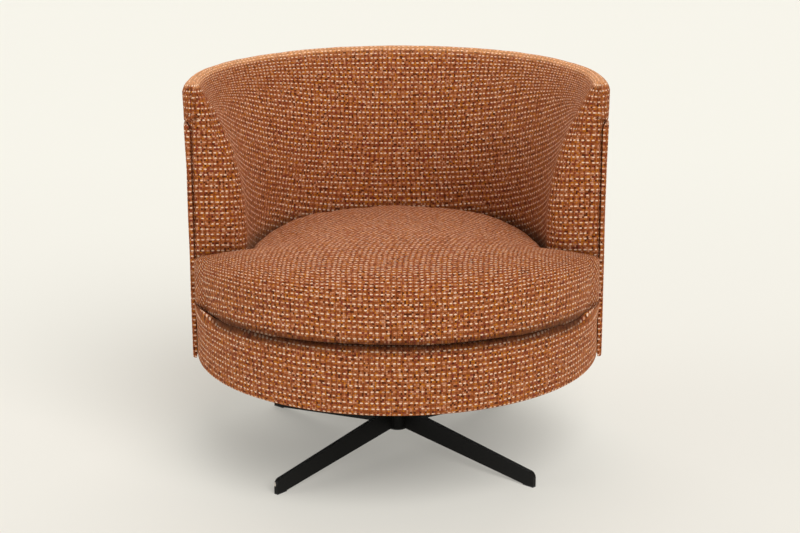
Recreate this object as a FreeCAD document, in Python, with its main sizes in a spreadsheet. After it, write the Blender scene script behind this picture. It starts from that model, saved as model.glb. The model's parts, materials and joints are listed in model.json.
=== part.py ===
import FreeCAD, Part
import math
import os
import re
import Sketcher
from FreeCAD import Placement, Rotation, Vector

# Swivel rocker: a round tub armchair on a four-blade star base.
# Origin: on the swivel axis, at floor level. +Z is up and the sitter looks along -Y. Millimetres.

doc = FreeCAD.newDocument("swivel_rocker")

# Driving sizes: the name in the sheet, the value, and what it measures.
SIZES = (
    ("tub_radius", 390, "outside of the round back, on the swivel axis"),
    ("apron_inset", 9, "apron inside the outside of the round back"),
    ("overall_height", 720, "floor to the top of the crest"),
    ("drum_underside", 197, "floor to the lower edge of the upholstery"),
    ("arm_front", 60, "swivel axis to the flat arm fronts"),
    ("seam_drop", 75, "top of the crest down to the seam under it"),
    ("lean_drop", 160, "top of the crest down to where the outside panel starts to lean out"),
    ("crest_lean", 4, "how far the crest stands out over the back"),
    ("crest_roll", 20, "radius of the rolled crest"),
    ("flare_radius", 480, "radius of the flare on the inside of the wall"),
    ("flare_slope", 33, "slope of the flare at the crest, degrees"),
    ("arm_round", 8, "rounding of the arm fronts"),
    ("cover_thickness", 2.5, "upholstery fabric with its backing"),
    ("panel_thickness", 8.6, "fabric and wadding on the outside"),
    ("panel_edge", 4, "rounding of the outside panel's front edges"),
    ("layer_gap", 0.4, "clearance between nested layers"),
    ("board_thickness", 10, "bent plywood"),
    ("shell_drop", 32, "top of the crest down to the bent shell"),
    ("shell_setback", 15, "arm fronts back to the shell's front edges"),
    ("shell_corner", 90, "rounding of the shell's upper front corners"),
    ("seat_pitch", 5.3, "fall of the seat towards the back, degrees"),
    ("deck_rise", 93, "lower edge of the upholstery to the deck, on the swivel axis"),
    ("deck_clear", 3, "room for the webbing under cushion and foam"),
    ("cushion_height", 155, "deck on the swivel axis to the top of the cushion"),
    ("cushion_proud", 0.5, "cushion front's radius over the apron's"),
    ("cushion_shift", 11, "cushion front's centre, ahead of the swivel axis"),
    ("cushion_belly", 92, "deck on the swivel axis to where the cushion front stands out most"),
    ("cushion_tuck", 60, "height of the straight stretch under the drawn-in side"),
    ("cushion_side", 300, "radius of the cushion's drawn-in side"),
    ("cushion_arch", 950, "crown's radius from arm to arm"),
    ("cushion_dome", 2400, "crown's radius from front to back"),
    ("crown_forward", 60, "crown's highest point, ahead of the swivel axis"),
    ("crown_sweep", 30, "turn of the crown's form about the centre of its dome, degrees"),
    ("cushion_edge", 32, "rounding of the cushion's upper edge"),
    ("cushion_gap", 0.6, "cushion to arm fronts and inside back"),
    ("ring_width", 52, "frame rings, inside the front board"),
    ("ring_recess", 3, "lower edge of the upholstery up to the lower ring"),
    ("lower_ring_thickness", 18, "lower ring"),
    ("deck_ring_thickness", 15, "deck ring"),
    ("post_count", 8, "blocks between the two rings"),
    ("post_width", 40, "block width along the ring"),
    ("post_depth", 36, "block depth across the ring"),
    ("arm_post_width", 45.6, "arm post, across"),
    ("arm_post_depth", 34, "arm post, front to back"),
    ("arm_post_drop", 120, "top of the crest down to the arm post"),
    ("strap_width", 50, "seat webbing"),
    ("strap_thickness", 1.2, "seat webbing"),
    ("strap_pitch", 88, "spacing of the webbing straps"),
    ("strap_count", 7, "straps each way"),
    ("strap_lap", 40, "webbing over the deck ring"),
    ("dust_lap", 4, "dust cover under the front board"),
    ("dust_opening", 150, "opening in the dust cover round the rocker"),
    ("dust_thickness", 1.2, "dust cover"),
    ("hub_radius", 20, "base hub, outside"),
    ("hub_bore", 15, "base hub, bore for the bushes"),
    ("hub_bottom", 37, "floor to the hub's lower face"),
    ("hub_top", 116, "floor to the hub's upper face"),
    ("hub_chamfer", 1.2, "edges of the hub"),
    ("base_turn", 3.6, "how far the base stands turned to the seat, degrees"),
    ("blade_thickness", 8.5, "leg blade"),
    ("leg_inset", 3, "blade root inside the hub's outline before it is cut to fit"),
    ("leg_reach", 334, "swivel axis to the blade tips"),
    ("leg_root_top", 80.5, "blade top at the hub"),
    ("leg_root_bottom", 40, "blade underside at the hub"),
    ("leg_tip_top", 29.5, "blade top where the tip's rounding starts"),
    ("leg_tip_round", 12, "rounding of the blade tip"),
    ("foot_length", 24, "flat under the blade tip"),
    ("glide_thickness", 2, "glide pad under the blade tip"),
    ("weld_gap", 0.05, "clearance between blade end and hub"),
    ("spindle_radius", 11, "swivel spindle"),
    ("running_fit", 0.05, "radial clearance of a shaft in its bush or bore"),
    ("bush_length", 20, "hub bush below its flange"),
    ("bush_flange", 2, "hub bush flange"),
    ("lower_bush_base", 54, "floor to the lower bush's flange"),
    ("washer_thickness", 2, "thrust washer"),
    ("running_gap", 0.3, "clearance between faces that slide"),
    ("spindle_flange", 4, "spindle flange thickness"),
    ("ring_thickness", 1.5, "retaining ring on the spindle"),
    ("ring_radius", 13.6, "retaining ring, outside"),
    ("ring_mouth", 0.6, "half the mouth of a snap ring over its inside radius"),
    ("spindle_end", 4.5, "spindle below its retaining ring"),
    ("pan_width", 128, "rocker pan, outside, across the chair"),
    ("pan_length", 198, "rocker pan, front to back"),
    ("plate_steel", 4, "pressed steel of the rocker"),
    ("pan_corner", 8, "outer corners of the rocker pan"),
    ("pan_wall", 26, "height of the pan's low side walls"),
    ("pan_corner_depth", 20, "raised corners of the pan, front to back"),
    ("pivot_rise", 47.7, "underside of the pan to the rocker pivot"),
    ("ear_radius", 19, "rounded ends of the rocker ears"),
    ("ear_foot", 34, "half width of an ear at its foot"),
    ("pin_radius", 6, "pivot pin"),
    ("pin_head", 9, "pivot pin's head"),
    ("head_thickness", 3, "pivot pin's head"),
    ("clip_thickness", 1.2, "clip on the pivot pin"),
    ("clip_depth", 1.4, "grooves for the clip and the retaining ring"),
    ("pin_tail", 3.6, "pivot pin past the ear"),
    ("top_plate_width", 204, "rocker top plate, across the chair"),
    ("top_plate_length", 180, "rocker top plate, front to back"),
    ("rock_back", 12, "backward stop, degrees"),
    ("rock_forward", 8, "forward stop, degrees"),
    ("buffer_thickness", 4, "rubber over the pan's end walls"),
    ("buffer_lip", 9, "rubber lip down the wall"),
    ("buffer_length", 96, "rubber buffer, across the chair"),
    ("spring_offset", 62, "swivel axis to a spring's centre"),
    ("spring_radius", 21, "mean radius of the coils"),
    ("spring_wire", 6, "spring wire diameter"),
    ("spring_turns", 5, "turns in a spring"),
    ("spring_arcs", 4, "biarcs in a turn"),
    ("rail_centre", 86, "swivel axis to a mechanism rail's centre"),
    ("rail_width", 44, "mechanism rail"),
    ("rail_height", 20, "mechanism rail"),
    ("rail_lap", 20, "rail ends past the inside of the lower ring"),
    ("bolt_spacing", 140, "plate bolts, front to back"),
    ("bolt_radius", 4, "plate bolt shank"),
    ("bolt_clearance", 0.25, "bolt hole over the shank"),
    ("bolt_head", 6.5, "plate bolt head, half across the flats"),
    ("bolt_head_height", 5.3, "plate bolt head"),
    ("bolt_end", 15, "bolt end above the plate"),
    ("cap_lip", 1.5, "hub end cap's rim"),
    ("cap_plug", 8, "hub end cap's plug"),
    ("reach", 600, "size of the cutting shapes"),
)

sheet = doc.addObject("Spreadsheet::Sheet", "Sizes")
for row, (name, value, meaning) in enumerate(SIZES, start=1):
    sheet.set(f"A{row}", name)
    sheet.set(f"B{row}", str(value))
    sheet.set(f"C{row}", meaning)
    sheet.setAlias(f"B{row}", name)
doc.recompute()

NAMES = {name for name, value, meaning in SIZES}
WORD = re.compile(r"[a-z][a-z_]*")


def bound(formula):
    """The same formula with each size written as a cell of the sheet."""
    return WORD.sub(lambda m: "Sizes." + m.group() if m.group() in NAMES else m.group(), formula)


def size(formula):
    """What a formula in the sheet's names comes to."""
    return float(sheet.evalExpression(formula))


# Heights and radii that follow from the driving sizes.
FRONT_RADIUS = "(tub_radius - apron_inset)"
PANEL_TOP = "(overall_height - seam_drop)"
LEAN_START = "(overall_height - lean_drop)"
SHELL_TOP = "(overall_height - shell_drop)"
SHELL_FRONT = "(arm_front - shell_setback)"
DECK_HEIGHT = "(drum_underside + deck_rise)"
CUSHION_RADIUS = f"({FRONT_RADIUS} + cushion_proud)"
CUSHION_WIDEST = f"({DECK_HEIGHT} + cushion_belly)"
LOWER_RING_BASE = "(drum_underside + ring_recess)"
CREST_CENTRE = "(tub_radius + crest_lean - crest_roll)"
CREST_HEIGHT = "(overall_height - crest_roll)"
FLARE_CENTRE = f"({CREST_CENTRE} + (flare_radius - crest_roll) * cos(flare_slope))"
FLARE_HEIGHT = f"({CREST_HEIGHT} - (flare_radius - crest_roll) * sin(flare_slope))"
INNER_RADIUS = f"({FLARE_CENTRE} - flare_radius)"
SHELL_OUTER = "(tub_radius - panel_thickness - layer_gap)"
SHELL_INNER = f"({SHELL_OUTER} - board_thickness)"
APRON_INNER = f"({FRONT_RADIUS} - panel_thickness)"
FRONT_BOARD_OUTER = f"({APRON_INNER} - layer_gap)"
FRONT_BOARD_INNER = f"({FRONT_BOARD_OUTER} - board_thickness)"
RING_INNER = f"({FRONT_BOARD_INNER} - ring_width)"
LOWER_RING_TOP = f"({LOWER_RING_BASE} + lower_ring_thickness)"
WASHER_BASE = "(hub_top + bush_flange)"
FLANGE_BASE = f"({WASHER_BASE} + washer_thickness + running_gap)"
PAN_BASE = f"({FLANGE_BASE} + spindle_flange)"
PAN_FLOOR = f"({PAN_BASE} + plate_steel)"
PIVOT_HEIGHT = f"({PAN_BASE} + pivot_rise)"
PLATE_TOP = LOWER_RING_TOP
PLATE_BASE = f"({PLATE_TOP} - plate_steel)"
EAR_INNER = "(pan_width / 2 + layer_gap)"
EAR_OUTER = f"({EAR_INNER} + plate_steel)"


def stop_height(angle):
    """Top of a buffer that the plate's underside meets at its tilt, less a running gap."""
    rise = f"({PLATE_BASE} - {PIVOT_HEIGHT})"
    edge = "(pan_length / 2 + buffer_thickness / 2)"
    return f"({PIVOT_HEIGHT} + ({rise} - {edge} * sin({angle})) / cos({angle}) - running_gap)"


def deck(distance, clear="0"):
    """Height of the pitched deck at a distance behind the swivel axis."""
    return f"({DECK_HEIGHT} + {clear} / cos(seat_pitch) - ({distance}) * tan(seat_pitch))"


# Points this near to a plane or a height count as on it, in millimetres.
CLOSE = 0.01


# Ways of drawing and building.
def new_body(name):
    body = doc.addObject("PartDesign::Body", name)
    body.Label = name
    return body


def blank_sketch(body, plane, name):
    """An empty sketch on one of the body's own origin planes."""
    made = body.newObject("Sketcher::SketchObject", name)
    support = [item for item in body.Origin.OriginFeatures if item.Role == plane][0]
    made.AttachmentSupport = [(support, "")]
    made.MapMode = "FlatFace"
    return made


def fix_point(made, element, end, at):
    """Bind one end of a sketch element to a pair of formulas."""
    for kind, formula in zip(("DistanceX", "DistanceY"), at):
        rule = made.addConstraint(Sketcher.Constraint(kind, -1, 1, element, end, size(formula)))
        made.setExpression(f"Constraints[{rule}]", bound(formula))


def outline(body, plane, name, start, steps):
    """A closed outline from lines (x, y) and arcs (x, y, radius, turn), turn 1 being anticlockwise."""
    made = blank_sketch(body, plane, name)
    here = start
    ends = []
    for step in steps:
        a = Vector(size(here[0]), size(here[1]), 0)
        b = Vector(size(step[0]), size(step[1]), 0)
        if len(step) == 2:
            index = made.addGeometry(Part.LineSegment(a, b), False)
            first, last = 1, 2
        else:
            radius, turn = size(step[2]), step[3]
            half = (b - a) * 0.5
            rise = math.sqrt(max(radius ** 2 - half.Length ** 2, 0.0))
            side = Vector(-half.y, half.x, 0).normalize() * (rise * turn)
            centre = a + half + side
            begin, stop = (a, b) if turn > 0 else (b, a)
            angles = [math.atan2(p.y - centre.y, p.x - centre.x) for p in (begin, stop)]
            if angles[1] < angles[0]:
                angles[1] += 2 * math.pi
            round_part = Part.Circle(centre, Vector(0, 0, 1), radius)
            index = made.addGeometry(Part.ArcOfCircle(round_part, *angles), False)
            first, last = (1, 2) if turn > 0 else (2, 1)
        ends.append((index, first, last, step))
        here = step
    for number, (index, first, last, step) in enumerate(ends):
        following = ends[(number + 1) % len(ends)]
        made.addConstraint(Sketcher.Constraint("Coincident", index, last, following[0], following[1]))
        fix_point(made, index, last, step[:2])
        if len(step) == 4:
            rule = made.addConstraint(Sketcher.Constraint("Radius", index, size(step[2])))
            made.setExpression(f"Constraints[{rule}]", bound(step[2]))
    return made


def circles(body, plane, name, rounds):
    """A sketch of circles, each an (x, y, radius) of formulas."""
    made = blank_sketch(body, plane, name)
    for x, y, radius in rounds:
        round_part = Part.Circle(Vector(size(x), size(y), 0), Vector(0, 0, 1), size(radius))
        index = made.addGeometry(round_part, False)
        fix_point(made, index, 3, (x, y))
        rule = made.addConstraint(Sketcher.Constraint("Radius", index, size(radius)))
        made.setExpression(f"Constraints[{rule}]", bound(radius))
    return made


def pad(body, profile, length, both_ways=False):
    made = body.newObject("PartDesign::Pad", profile.Name + "_pad")
    made.Profile = profile
    made.SideType = "Symmetric" if both_ways else "One side"
    made.setExpression("Length", bound(length))
    doc.recompute()
    return made


def pocket(body, profile, depth=None):
    """Cut a sketch through the body both ways, or to a total depth about the sketch's plane."""
    made = body.newObject("PartDesign::Pocket", profile.Name + "_cut")
    made.Profile = profile
    made.SideType = "Symmetric"
    if depth is None:
        made.Type = "ThroughAll"
    else:
        made.setExpression("Length", bound(depth))
    doc.recompute()
    return made


def revolve(body, profile, axis="V_Axis", angle=360):
    made = body.newObject("PartDesign::Revolution", profile.Name + "_turn")
    made.Profile = profile
    made.ReferenceAxis = (profile, [axis])
    made.Midplane = angle < 360
    made.Angle = angle
    doc.recompute()
    return made


def edges_of(shape, wanted):
    """Names of the edges that pass the test, which is given three points of each."""
    names = []
    for number, edge in enumerate(shape.Edges, start=1):
        first, last = edge.ParameterRange
        points = [edge.valueAt(at) for at in (first, (first + last) / 2, last)]
        if wanted(points):
            names.append(f"Edge{number}")
    return names


def round_edges(body, wanted, radius, name, kind="PartDesign::Fillet"):
    """Fillet or chamfer the edges of the body's last feature that pass the test."""
    last = body.Tip
    made = body.newObject(kind, name)
    made.Base = (last, edges_of(last.Shape, wanted))
    made.setExpression("Radius" if kind.endswith("Fillet") else "Size", bound(radius))
    doc.recompute()
    return made


def cut_in_front(body, name, distance):
    """Take away all that lies ahead of a plane at this distance in front of the swivel axis."""
    far = "-2 * reach"
    near = f"-({distance})"
    steps = (("reach", far), ("reach", near), ("-reach", near), ("-reach", far))
    return pocket(body, outline(body, "XY_Plane", name, ("-reach", far), steps))


def cut_behind(body, name, distance):
    """Take away all that lies behind a plane at this distance in front of the swivel axis."""
    far = "2 * reach"
    near = f"-({distance})"
    steps = (("-reach", far), ("-reach", near), ("reach", near), ("reach", far))
    return pocket(body, outline(body, "XY_Plane", name, ("reach", far), steps))


def cut_to_deck(body, name, clear, above=True):
    """Trim the body to the pitched deck plane, above it or below it."""
    far = "2 * reach" if above else "-reach"
    low, high = deck("-reach", clear), deck("reach", clear)
    steps = (("reach", high), ("reach", far), ("-reach", far), ("-reach", low))
    return pocket(body, outline(body, "YZ_Plane", name, ("-reach", low), steps))


def tube_body(name, inner, outer, base, top):
    """A revolved upright wall between two radii."""
    body = new_body(name)
    steps = ((outer, base), (outer, top), (inner, top), (inner, base))
    revolve(body, outline(body, "XZ_Plane", name + "_section", (inner, base), steps))
    return body


def primitive(kind, name, **sizes):
    """A Part primitive whose sizes are formulas."""
    made = doc.addObject(kind, name)
    for key, formula in sizes.items():
        made.setExpression(key, bound(formula))
    return made


def place(item, x="0", y="0", z="0", turn=None):
    """Place an object by formulas, turned about an axis by a formula in degrees."""
    if turn is not None:
        axis, angle = turn
        item.Placement = Placement(Vector(0, 0, 0), Rotation(axis, size(angle)))
        item.setExpression("Placement.Rotation.Angle", bound(angle))
    for key, formula in zip("xyz", (x, y, z)):
        item.setExpression(f"Placement.Base.{key}", bound(formula))
    return item


def combine(kind, name, *items):
    """A named boolean of two objects, or a group of separate solids for Part::MultiFuse."""
    made = doc.addObject(kind, name)
    made.Label = name
    if kind == "Part::MultiFuse":
        made.Shapes = list(items)
    else:
        made.Base, made.Tool = items
    doc.recompute()
    return made


X_AXIS = Vector(1, 0, 0)
Y_AXIS = Vector(0, 1, 0)
Z_AXIS = Vector(0, 0, 1)


# The padded wall. Foam and inside cover share one form: flared inside, rolled crest, blunt arm fronts.
def wall_form(name, inset, clear):
    """The wall's form drawn in all round by a formula, and cut off this clear of the deck."""
    body = new_body(name)
    inner = f"({INNER_RADIUS} + {inset})"
    outer = f"({SHELL_OUTER} - {inset})"
    lip = f"(tub_radius - {inset})"
    roll = f"(crest_roll - {inset})"
    shelf = f"({PANEL_TOP} + {inset})"
    foot = LOWER_RING_BASE
    meet = (
        f"{CREST_CENTRE} - {roll} * cos(flare_slope)",
        f"{CREST_HEIGHT} + {roll} * sin(flare_slope)",
    )
    steps = (
        (outer, foot),
        (outer, shelf),
        (lip, shelf),
        (f"({CREST_CENTRE} + {roll})", CREST_HEIGHT),
        (CREST_CENTRE, f"{CREST_HEIGHT} + {roll}", roll, 1),
        (*meet, roll, 1),
        (inner, FLARE_HEIGHT, f"(flare_radius - {inset})", 1),
        (inner, foot),
    )
    revolve(body, outline(body, "XZ_Plane", name + "_section", (inner, foot), steps))
    cut_in_front(body, name + "_front", f"arm_front - {inset}")
    cut_to_deck(body, name + "_foot", clear, above=False)
    face = -size(f"arm_front - {inset}")
    level = (size(shelf), size(deck(f"-(arm_front - {inset})", clear)))

    def on_arm_front(points):
        flat = all(abs(p.y - face) < CLOSE for p in points)
        return flat and not any(all(abs(p.z - z) < CLOSE for p in points) for z in level)

    round_edges(body, on_arm_front, f"arm_round - {inset}", name + "_arm_rounding")
    return body


def shell_room(name, gap):
    """The space of the bent shell and of the outside panel, which the foam and the cover leave."""
    body = new_body(name)
    inner = f"({SHELL_INNER} - {gap})"
    beside = f"({SHELL_OUTER} + {gap})"
    beyond = "(2 * tub_radius)"
    top = f"({SHELL_TOP} + {gap})"
    foot = "0"
    steps = (
        (beyond, foot),
        (beyond, PANEL_TOP),
        (beside, PANEL_TOP),
        (beside, top),
        (inner, top),
        (inner, foot),
    )
    revolve(body, outline(body, "XZ_Plane", name + "_section", (inner, foot), steps))
    cut_in_front(body, name + "_front", f"{SHELL_FRONT} + {gap}")
    return body


def round_upper_corners(body, name, front, top):
    """Cut the wall's upper front corners to a quarter round, seen from the side."""
    level = f"({top} - shell_corner)"
    back = f"(shell_corner - {front})"
    steps = (
        (back, top, "shell_corner", -1),
        (back, "2 * reach"),
        ("-reach", "2 * reach"),
        ("-reach", level),
        (f"-{front}", level),
    )
    return pocket(body, outline(body, "YZ_Plane", name, (f"-{front}", level), steps))


def arm_post_form(name, side, gap):
    """An upright in the arm front, seated against the bent shell."""
    body = new_body(name)
    seat = f"({SHELL_INNER} - layer_gap)"
    inner = f"{side} * ({seat} - arm_post_width - {gap})"
    front = f"({SHELL_FRONT} + {gap})"
    rear = f"({SHELL_FRONT} - arm_post_depth - {gap})"
    radius = f"({seat} + {gap})"
    corner_front = (f"{side} * sqrt({radius} ^ 2 - {front} ^ 2)", f"-{front}")
    corner_rear = (f"{side} * sqrt({radius} ^ 2 - {rear} ^ 2)", f"-{rear}")
    steps = (corner_front, (*corner_rear, radius, side), (inner, f"-{rear}"), (inner, f"-{front}"))
    profile = outline(body, "XY_Plane", name + "_plan", (inner, f"-{front}"), steps)
    pad(body, profile, f"overall_height - arm_post_drop + {gap}")
    cut_to_deck(body, name + "_foot", f"(deck_clear - {gap})", above=False)
    return body


# Tub wall: bent shell, foam, inside cover and outside panel.
tub_shell = tube_body("tub_shell", SHELL_INNER, SHELL_OUTER, LOWER_RING_BASE, SHELL_TOP)
cut_in_front(tub_shell, "tub_shell_front", SHELL_FRONT)
round_upper_corners(tub_shell, "tub_shell_corners", SHELL_FRONT, SHELL_TOP)

cover_form = wall_form("cover_form", "0", "deck_clear")
cover_inside = wall_form("cover_inside", "cover_thickness", "0")
foam_form = wall_form("foam_form", "(cover_thickness + layer_gap)", "deck_clear")
cover_skin = combine("Part::Cut", "cover_skin", cover_form, cover_inside)
cover_room = shell_room("cover_room", "layer_gap")
inside_cover = combine("Part::Cut", "inside_cover", cover_skin, cover_room)

foam_room = shell_room("foam_room", "layer_gap")
foam_hollow = combine("Part::Cut", "foam_hollow", foam_form, foam_room)
arm_posts = {}
foam_posts = []
for side, word in ((-1, "left"), (1, "right")):
    arm_posts[word] = arm_post_form(f"arm_post_{word}", side, "0")
    foam_posts.append(arm_post_form(f"arm_post_room_{word}", side, "layer_gap"))
foam_one_side = combine("Part::Cut", "foam_one_side", foam_hollow, foam_posts[0])
wall_foam = combine("Part::Cut", "wall_foam", foam_one_side, foam_posts[1])


def outside_panel_body():
    body = new_body("outside_panel")
    inner = f"({SHELL_OUTER} + layer_gap)"
    top = f"({PANEL_TOP} - layer_gap)"
    lean = f"(crest_lean * ({PANEL_TOP} - {LEAN_START}) / ({CREST_HEIGHT} - {LEAN_START}))"
    steps = (
        ("tub_radius", "drum_underside"),
        ("tub_radius", LEAN_START),
        (f"tub_radius + {lean}", top),
        (inner, top),
        (inner, "drum_underside"),
    )
    start = (inner, "drum_underside")
    revolve(body, outline(body, "XZ_Plane", "outside_panel_section", start, steps))
    cut_in_front(body, "outside_panel_front", "arm_front")
    front = -size("arm_front")
    radius = size("tub_radius - panel_thickness / 2")

    def outer_front(points):
        return all(abs(p.y - front) < CLOSE and math.hypot(p.x, p.y) > radius for p in points)

    round_edges(body, outer_front, "panel_edge", "outside_panel_edge")
    return body


outside_panel = outside_panel_body()


# Drum below the cushion: rings, blocks, bent front board, apron.
def ring_plan(body, name):
    """The rings' outline: close to the bent shell behind, close to the front board ahead."""
    rear = f"({SHELL_INNER} - layer_gap)"
    ahead = f"({FRONT_BOARD_INNER} - layer_gap)"
    near = f"({SHELL_FRONT} - layer_gap)"
    rear_x = f"sqrt({rear} ^ 2 - {near} ^ 2)"
    ahead_x = f"sqrt({ahead} ^ 2 - {near} ^ 2)"
    steps = (
        (f"-{ahead_x}", f"-{near}"),
        ("0", f"-{ahead}", ahead, 1),
        (ahead_x, f"-{near}", ahead, 1),
        (rear_x, f"-{near}"),
        ("0", rear, rear, 1),
        (f"-{rear_x}", f"-{near}", rear, 1),
    )
    return outline(body, "XY_Plane", name, (f"-{rear_x}", f"-{near}"), steps)


def ring_body(name, height):
    body = new_body(name)
    pad(body, ring_plan(body, name + "_plan"), height)
    hole = circles(body, "XY_Plane", name + "_hole", (("0", "0", RING_INNER),))
    pocket(body, hole)
    return body


lower_ring = ring_body("lower_ring", "lower_ring_thickness")
place(lower_ring, z=LOWER_RING_BASE)

deck_ring = ring_body("deck_ring", "reach")
cut_to_deck(deck_ring, "deck_ring_top", "0")
cut_to_deck(deck_ring, "deck_ring_underside", "-deck_ring_thickness", above=False)

front_board = tube_body("front_board", FRONT_BOARD_INNER, FRONT_BOARD_OUTER, LOWER_RING_BASE, "reach")
cut_behind(front_board, "front_board_ends", f"{SHELL_FRONT} + 2 * layer_gap")
cut_to_deck(front_board, "front_board_top", "0")

front_apron = tube_body("front_apron", APRON_INNER, FRONT_RADIUS, "drum_underside", "reach")
cut_behind(front_apron, "front_apron_ends", f"{SHELL_FRONT} + 2 * layer_gap")
cut_to_deck(front_apron, "front_apron_top", "0")


def ease_apron(body):
    """Ease the apron's upper outer edge where the cloth turns over the board."""
    radius = size(f"{FRONT_RADIUS} - running_fit")
    lowest = size("drum_underside + ring_recess")
    back = -size(f"{SHELL_FRONT} + 3 * layer_gap")

    def upper_outer(points):
        round_side = all(math.hypot(p.x, p.y) > radius and p.z > lowest for p in points)
        return round_side and min(p.y for p in points) < back

    round_edges(body, upper_outer, "panel_edge", "front_apron_edge", "PartDesign::Chamfer")


ease_apron(front_apron)


def frame_post_group():
    """Blocks between the two rings, evenly round, cut under the pitched deck ring."""
    blocks = []
    middle = f"(({RING_INNER} + {FRONT_BOARD_INNER}) / 2)"
    for number in range(int(size("post_count"))):
        turn = f"{number} * 360 / post_count"
        block = primitive("Part::Box", f"post_block_{number}",
                          Length="post_depth", Width="post_width", Height="reach")
        inner = f"({middle} - post_depth / 2)"
        place(block,
              f"{inner} * cos({turn}) + post_width / 2 * sin({turn})",
              f"{inner} * sin({turn}) - post_width / 2 * cos({turn})",
              LOWER_RING_TOP,
              (Z_AXIS, turn))
        blocks.append(block)
    return combine("Part::MultiFuse", "post_blocks", *blocks)


def above_deck(name, clear):
    """A block that fills all above the pitched deck."""
    block = primitive("Part::Box", name, Length="4 * reach", Width="4 * reach", Height="4 * reach")
    side = "2 * reach"
    return place(block, f"-{side}",
                 f"-{side} * cos(seat_pitch)",
                 f"{DECK_HEIGHT} + {clear} / cos(seat_pitch) + {side} * sin(seat_pitch)",
                 (X_AXIS, "-seat_pitch"))


post_blocks = frame_post_group()
over_posts = above_deck("over_posts", "-deck_ring_thickness")
frame_posts = combine("Part::Cut", "frame_posts", post_blocks, over_posts)


def webbing_grid():
    """Straps across and along the deck, clipped to a circle on the deck ring."""
    straps = []
    radius = f"({RING_INNER} + strap_lap)"
    for number in range(int(size("strap_count"))):
        side = f"(({number} - (strap_count - 1) / 2) * strap_pitch - strap_width / 2)"
        along = primitive("Part::Box", f"strap_along_{number}",
                          Length="strap_width", Width=f"2 * {radius}", Height="strap_thickness")
        place(along, side, f"-{radius}", "0")
        across = primitive("Part::Box", f"strap_across_{number}",
                           Length=f"2 * {radius}", Width="strap_width", Height="strap_thickness")
        place(across, f"-{radius}", side, "strap_thickness")
        straps += [along, across]
    grid = combine("Part::MultiFuse", "strap_grid", *straps)
    rim = primitive("Part::Cylinder", "strap_rim", Radius=radius, Height="reach")
    clipped = combine("Part::Common", "seat_webbing", grid, rim)
    return place(clipped, "0", "0", DECK_HEIGHT, (X_AXIS, "-seat_pitch"))


seat_webbing = webbing_grid()

dust_cover = tube_body("dust_cover", "dust_opening", f"({FRONT_BOARD_INNER} + dust_lap)",
                       f"({LOWER_RING_BASE} - layer_gap - dust_thickness)",
                       f"({LOWER_RING_BASE} - layer_gap)")


# Seat cushion: a crowned round cushion with a full-width front and a rear that fills the tub.
def cushion_form(name, inset):
    """The cushion's form drawn in all round by a formula."""
    side = new_body(name + "_side")
    widest = f"({CUSHION_RADIUS} - {inset})"
    radius = f"(cushion_side - {inset})"
    foot = LOWER_RING_BASE
    tuck = f"({CUSHION_WIDEST} - {foot} - cushion_tuck)"
    drawn = f"({widest} - {radius} + sqrt({radius} ^ 2 - {tuck} ^ 2))"
    steps = (
        (drawn, foot),
        (drawn, f"{foot} + cushion_tuck"),
        (widest, CUSHION_WIDEST, radius, 1),
        (widest, "reach"),
        ("0", "reach"),
        ("0", foot),
    )
    revolve(side, outline(side, "XZ_Plane", name + "_section", ("0", foot), steps))
    rear = f"({INNER_RADIUS} - cushion_gap - {inset})"
    notch = f"-(arm_front + cushion_gap + {inset} - cushion_shift)"
    corner = f"sqrt({rear} ^ 2 - (arm_front + cushion_gap + {inset}) ^ 2)"
    wide = "2 * reach"
    steps = (
        (wide, notch),
        (wide, wide),
        (f"-{wide}", wide),
        (f"-{wide}", notch),
        (f"-{corner}", notch),
        ("0", f"{rear} + cushion_shift", rear, -1),
        (corner, notch, rear, -1),
    )
    pocket(side, outline(side, "XY_Plane", name + "_notch", (corner, notch), steps))
    place(side, y="-cushion_shift")

    crown = new_body(name + "_crown")
    dome = f"(cushion_dome - {inset})"
    arch = f"(cushion_arch - {inset})"
    half = "(tub_radius + crest_roll)"
    edge = f"({dome} - {arch} + sqrt({arch} ^ 2 - {half} ^ 2))"
    base = f"{dome} - reach"
    steps = ((half, base), (half, edge), (f"-{half}", edge, arch, 1), (f"-{half}", base))
    profile = outline(crown, "XZ_Plane", name + "_arch", (f"-{half}", base), steps)
    revolve(crown, profile, "H_Axis", size("crown_sweep"))
    place(crown, "0", "-crown_forward", f"{DECK_HEIGHT} + cushion_height - {inset} - {dome}")

    whole = combine("Part::Common", name + "_whole", side, crown)
    wide_under = primitive("Part::Box", name + "_under",
                           Length="4 * reach", Width="4 * reach", Height="reach")
    height = f"({DECK_HEIGHT} + (deck_clear + {inset}) / cos(seat_pitch))"
    place(wide_under, f"-{wide}",
          f"-{wide} * cos(seat_pitch) - reach * sin(seat_pitch)",
          f"{height} + {wide} * sin(seat_pitch) - reach * cos(seat_pitch)",
          (X_AXIS, "-seat_pitch"))
    blank = combine("Part::Cut", name + "_blank", whole, wide_under)
    lowest = size(f"{CUSHION_WIDEST} - 2 * cushion_edge")

    def upper(points):
        return all(p.z > lowest for p in points)

    soft = doc.addObject("Part::Fillet", name)
    soft.Label = name
    soft.Base = blank
    rounding = size(f"cushion_edge - {inset}")
    numbers = [int(edge_name[4:]) for edge_name in edges_of(blank.Shape, upper)]
    soft.Edges = [(number, rounding, rounding) for number in numbers]
    doc.recompute()
    return soft


cushion_outer = cushion_form("cushion_outer", "0")
cushion_inside = cushion_form("cushion_inside", "cover_thickness")
cushion_cover = combine("Part::Cut", "cushion_cover", cushion_outer, cushion_inside)
cushion_core = cushion_form("cushion_core", "(cover_thickness + layer_gap)")


# Base: hub, four blades on edge, glide pads, bushes, washer, end cap.
def turned(name, start, steps):
    """A part turned about its axis from half its section, radius first."""
    body = new_body(name)
    revolve(body, outline(body, "XZ_Plane", name + "_section", start, steps))
    return body


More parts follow.
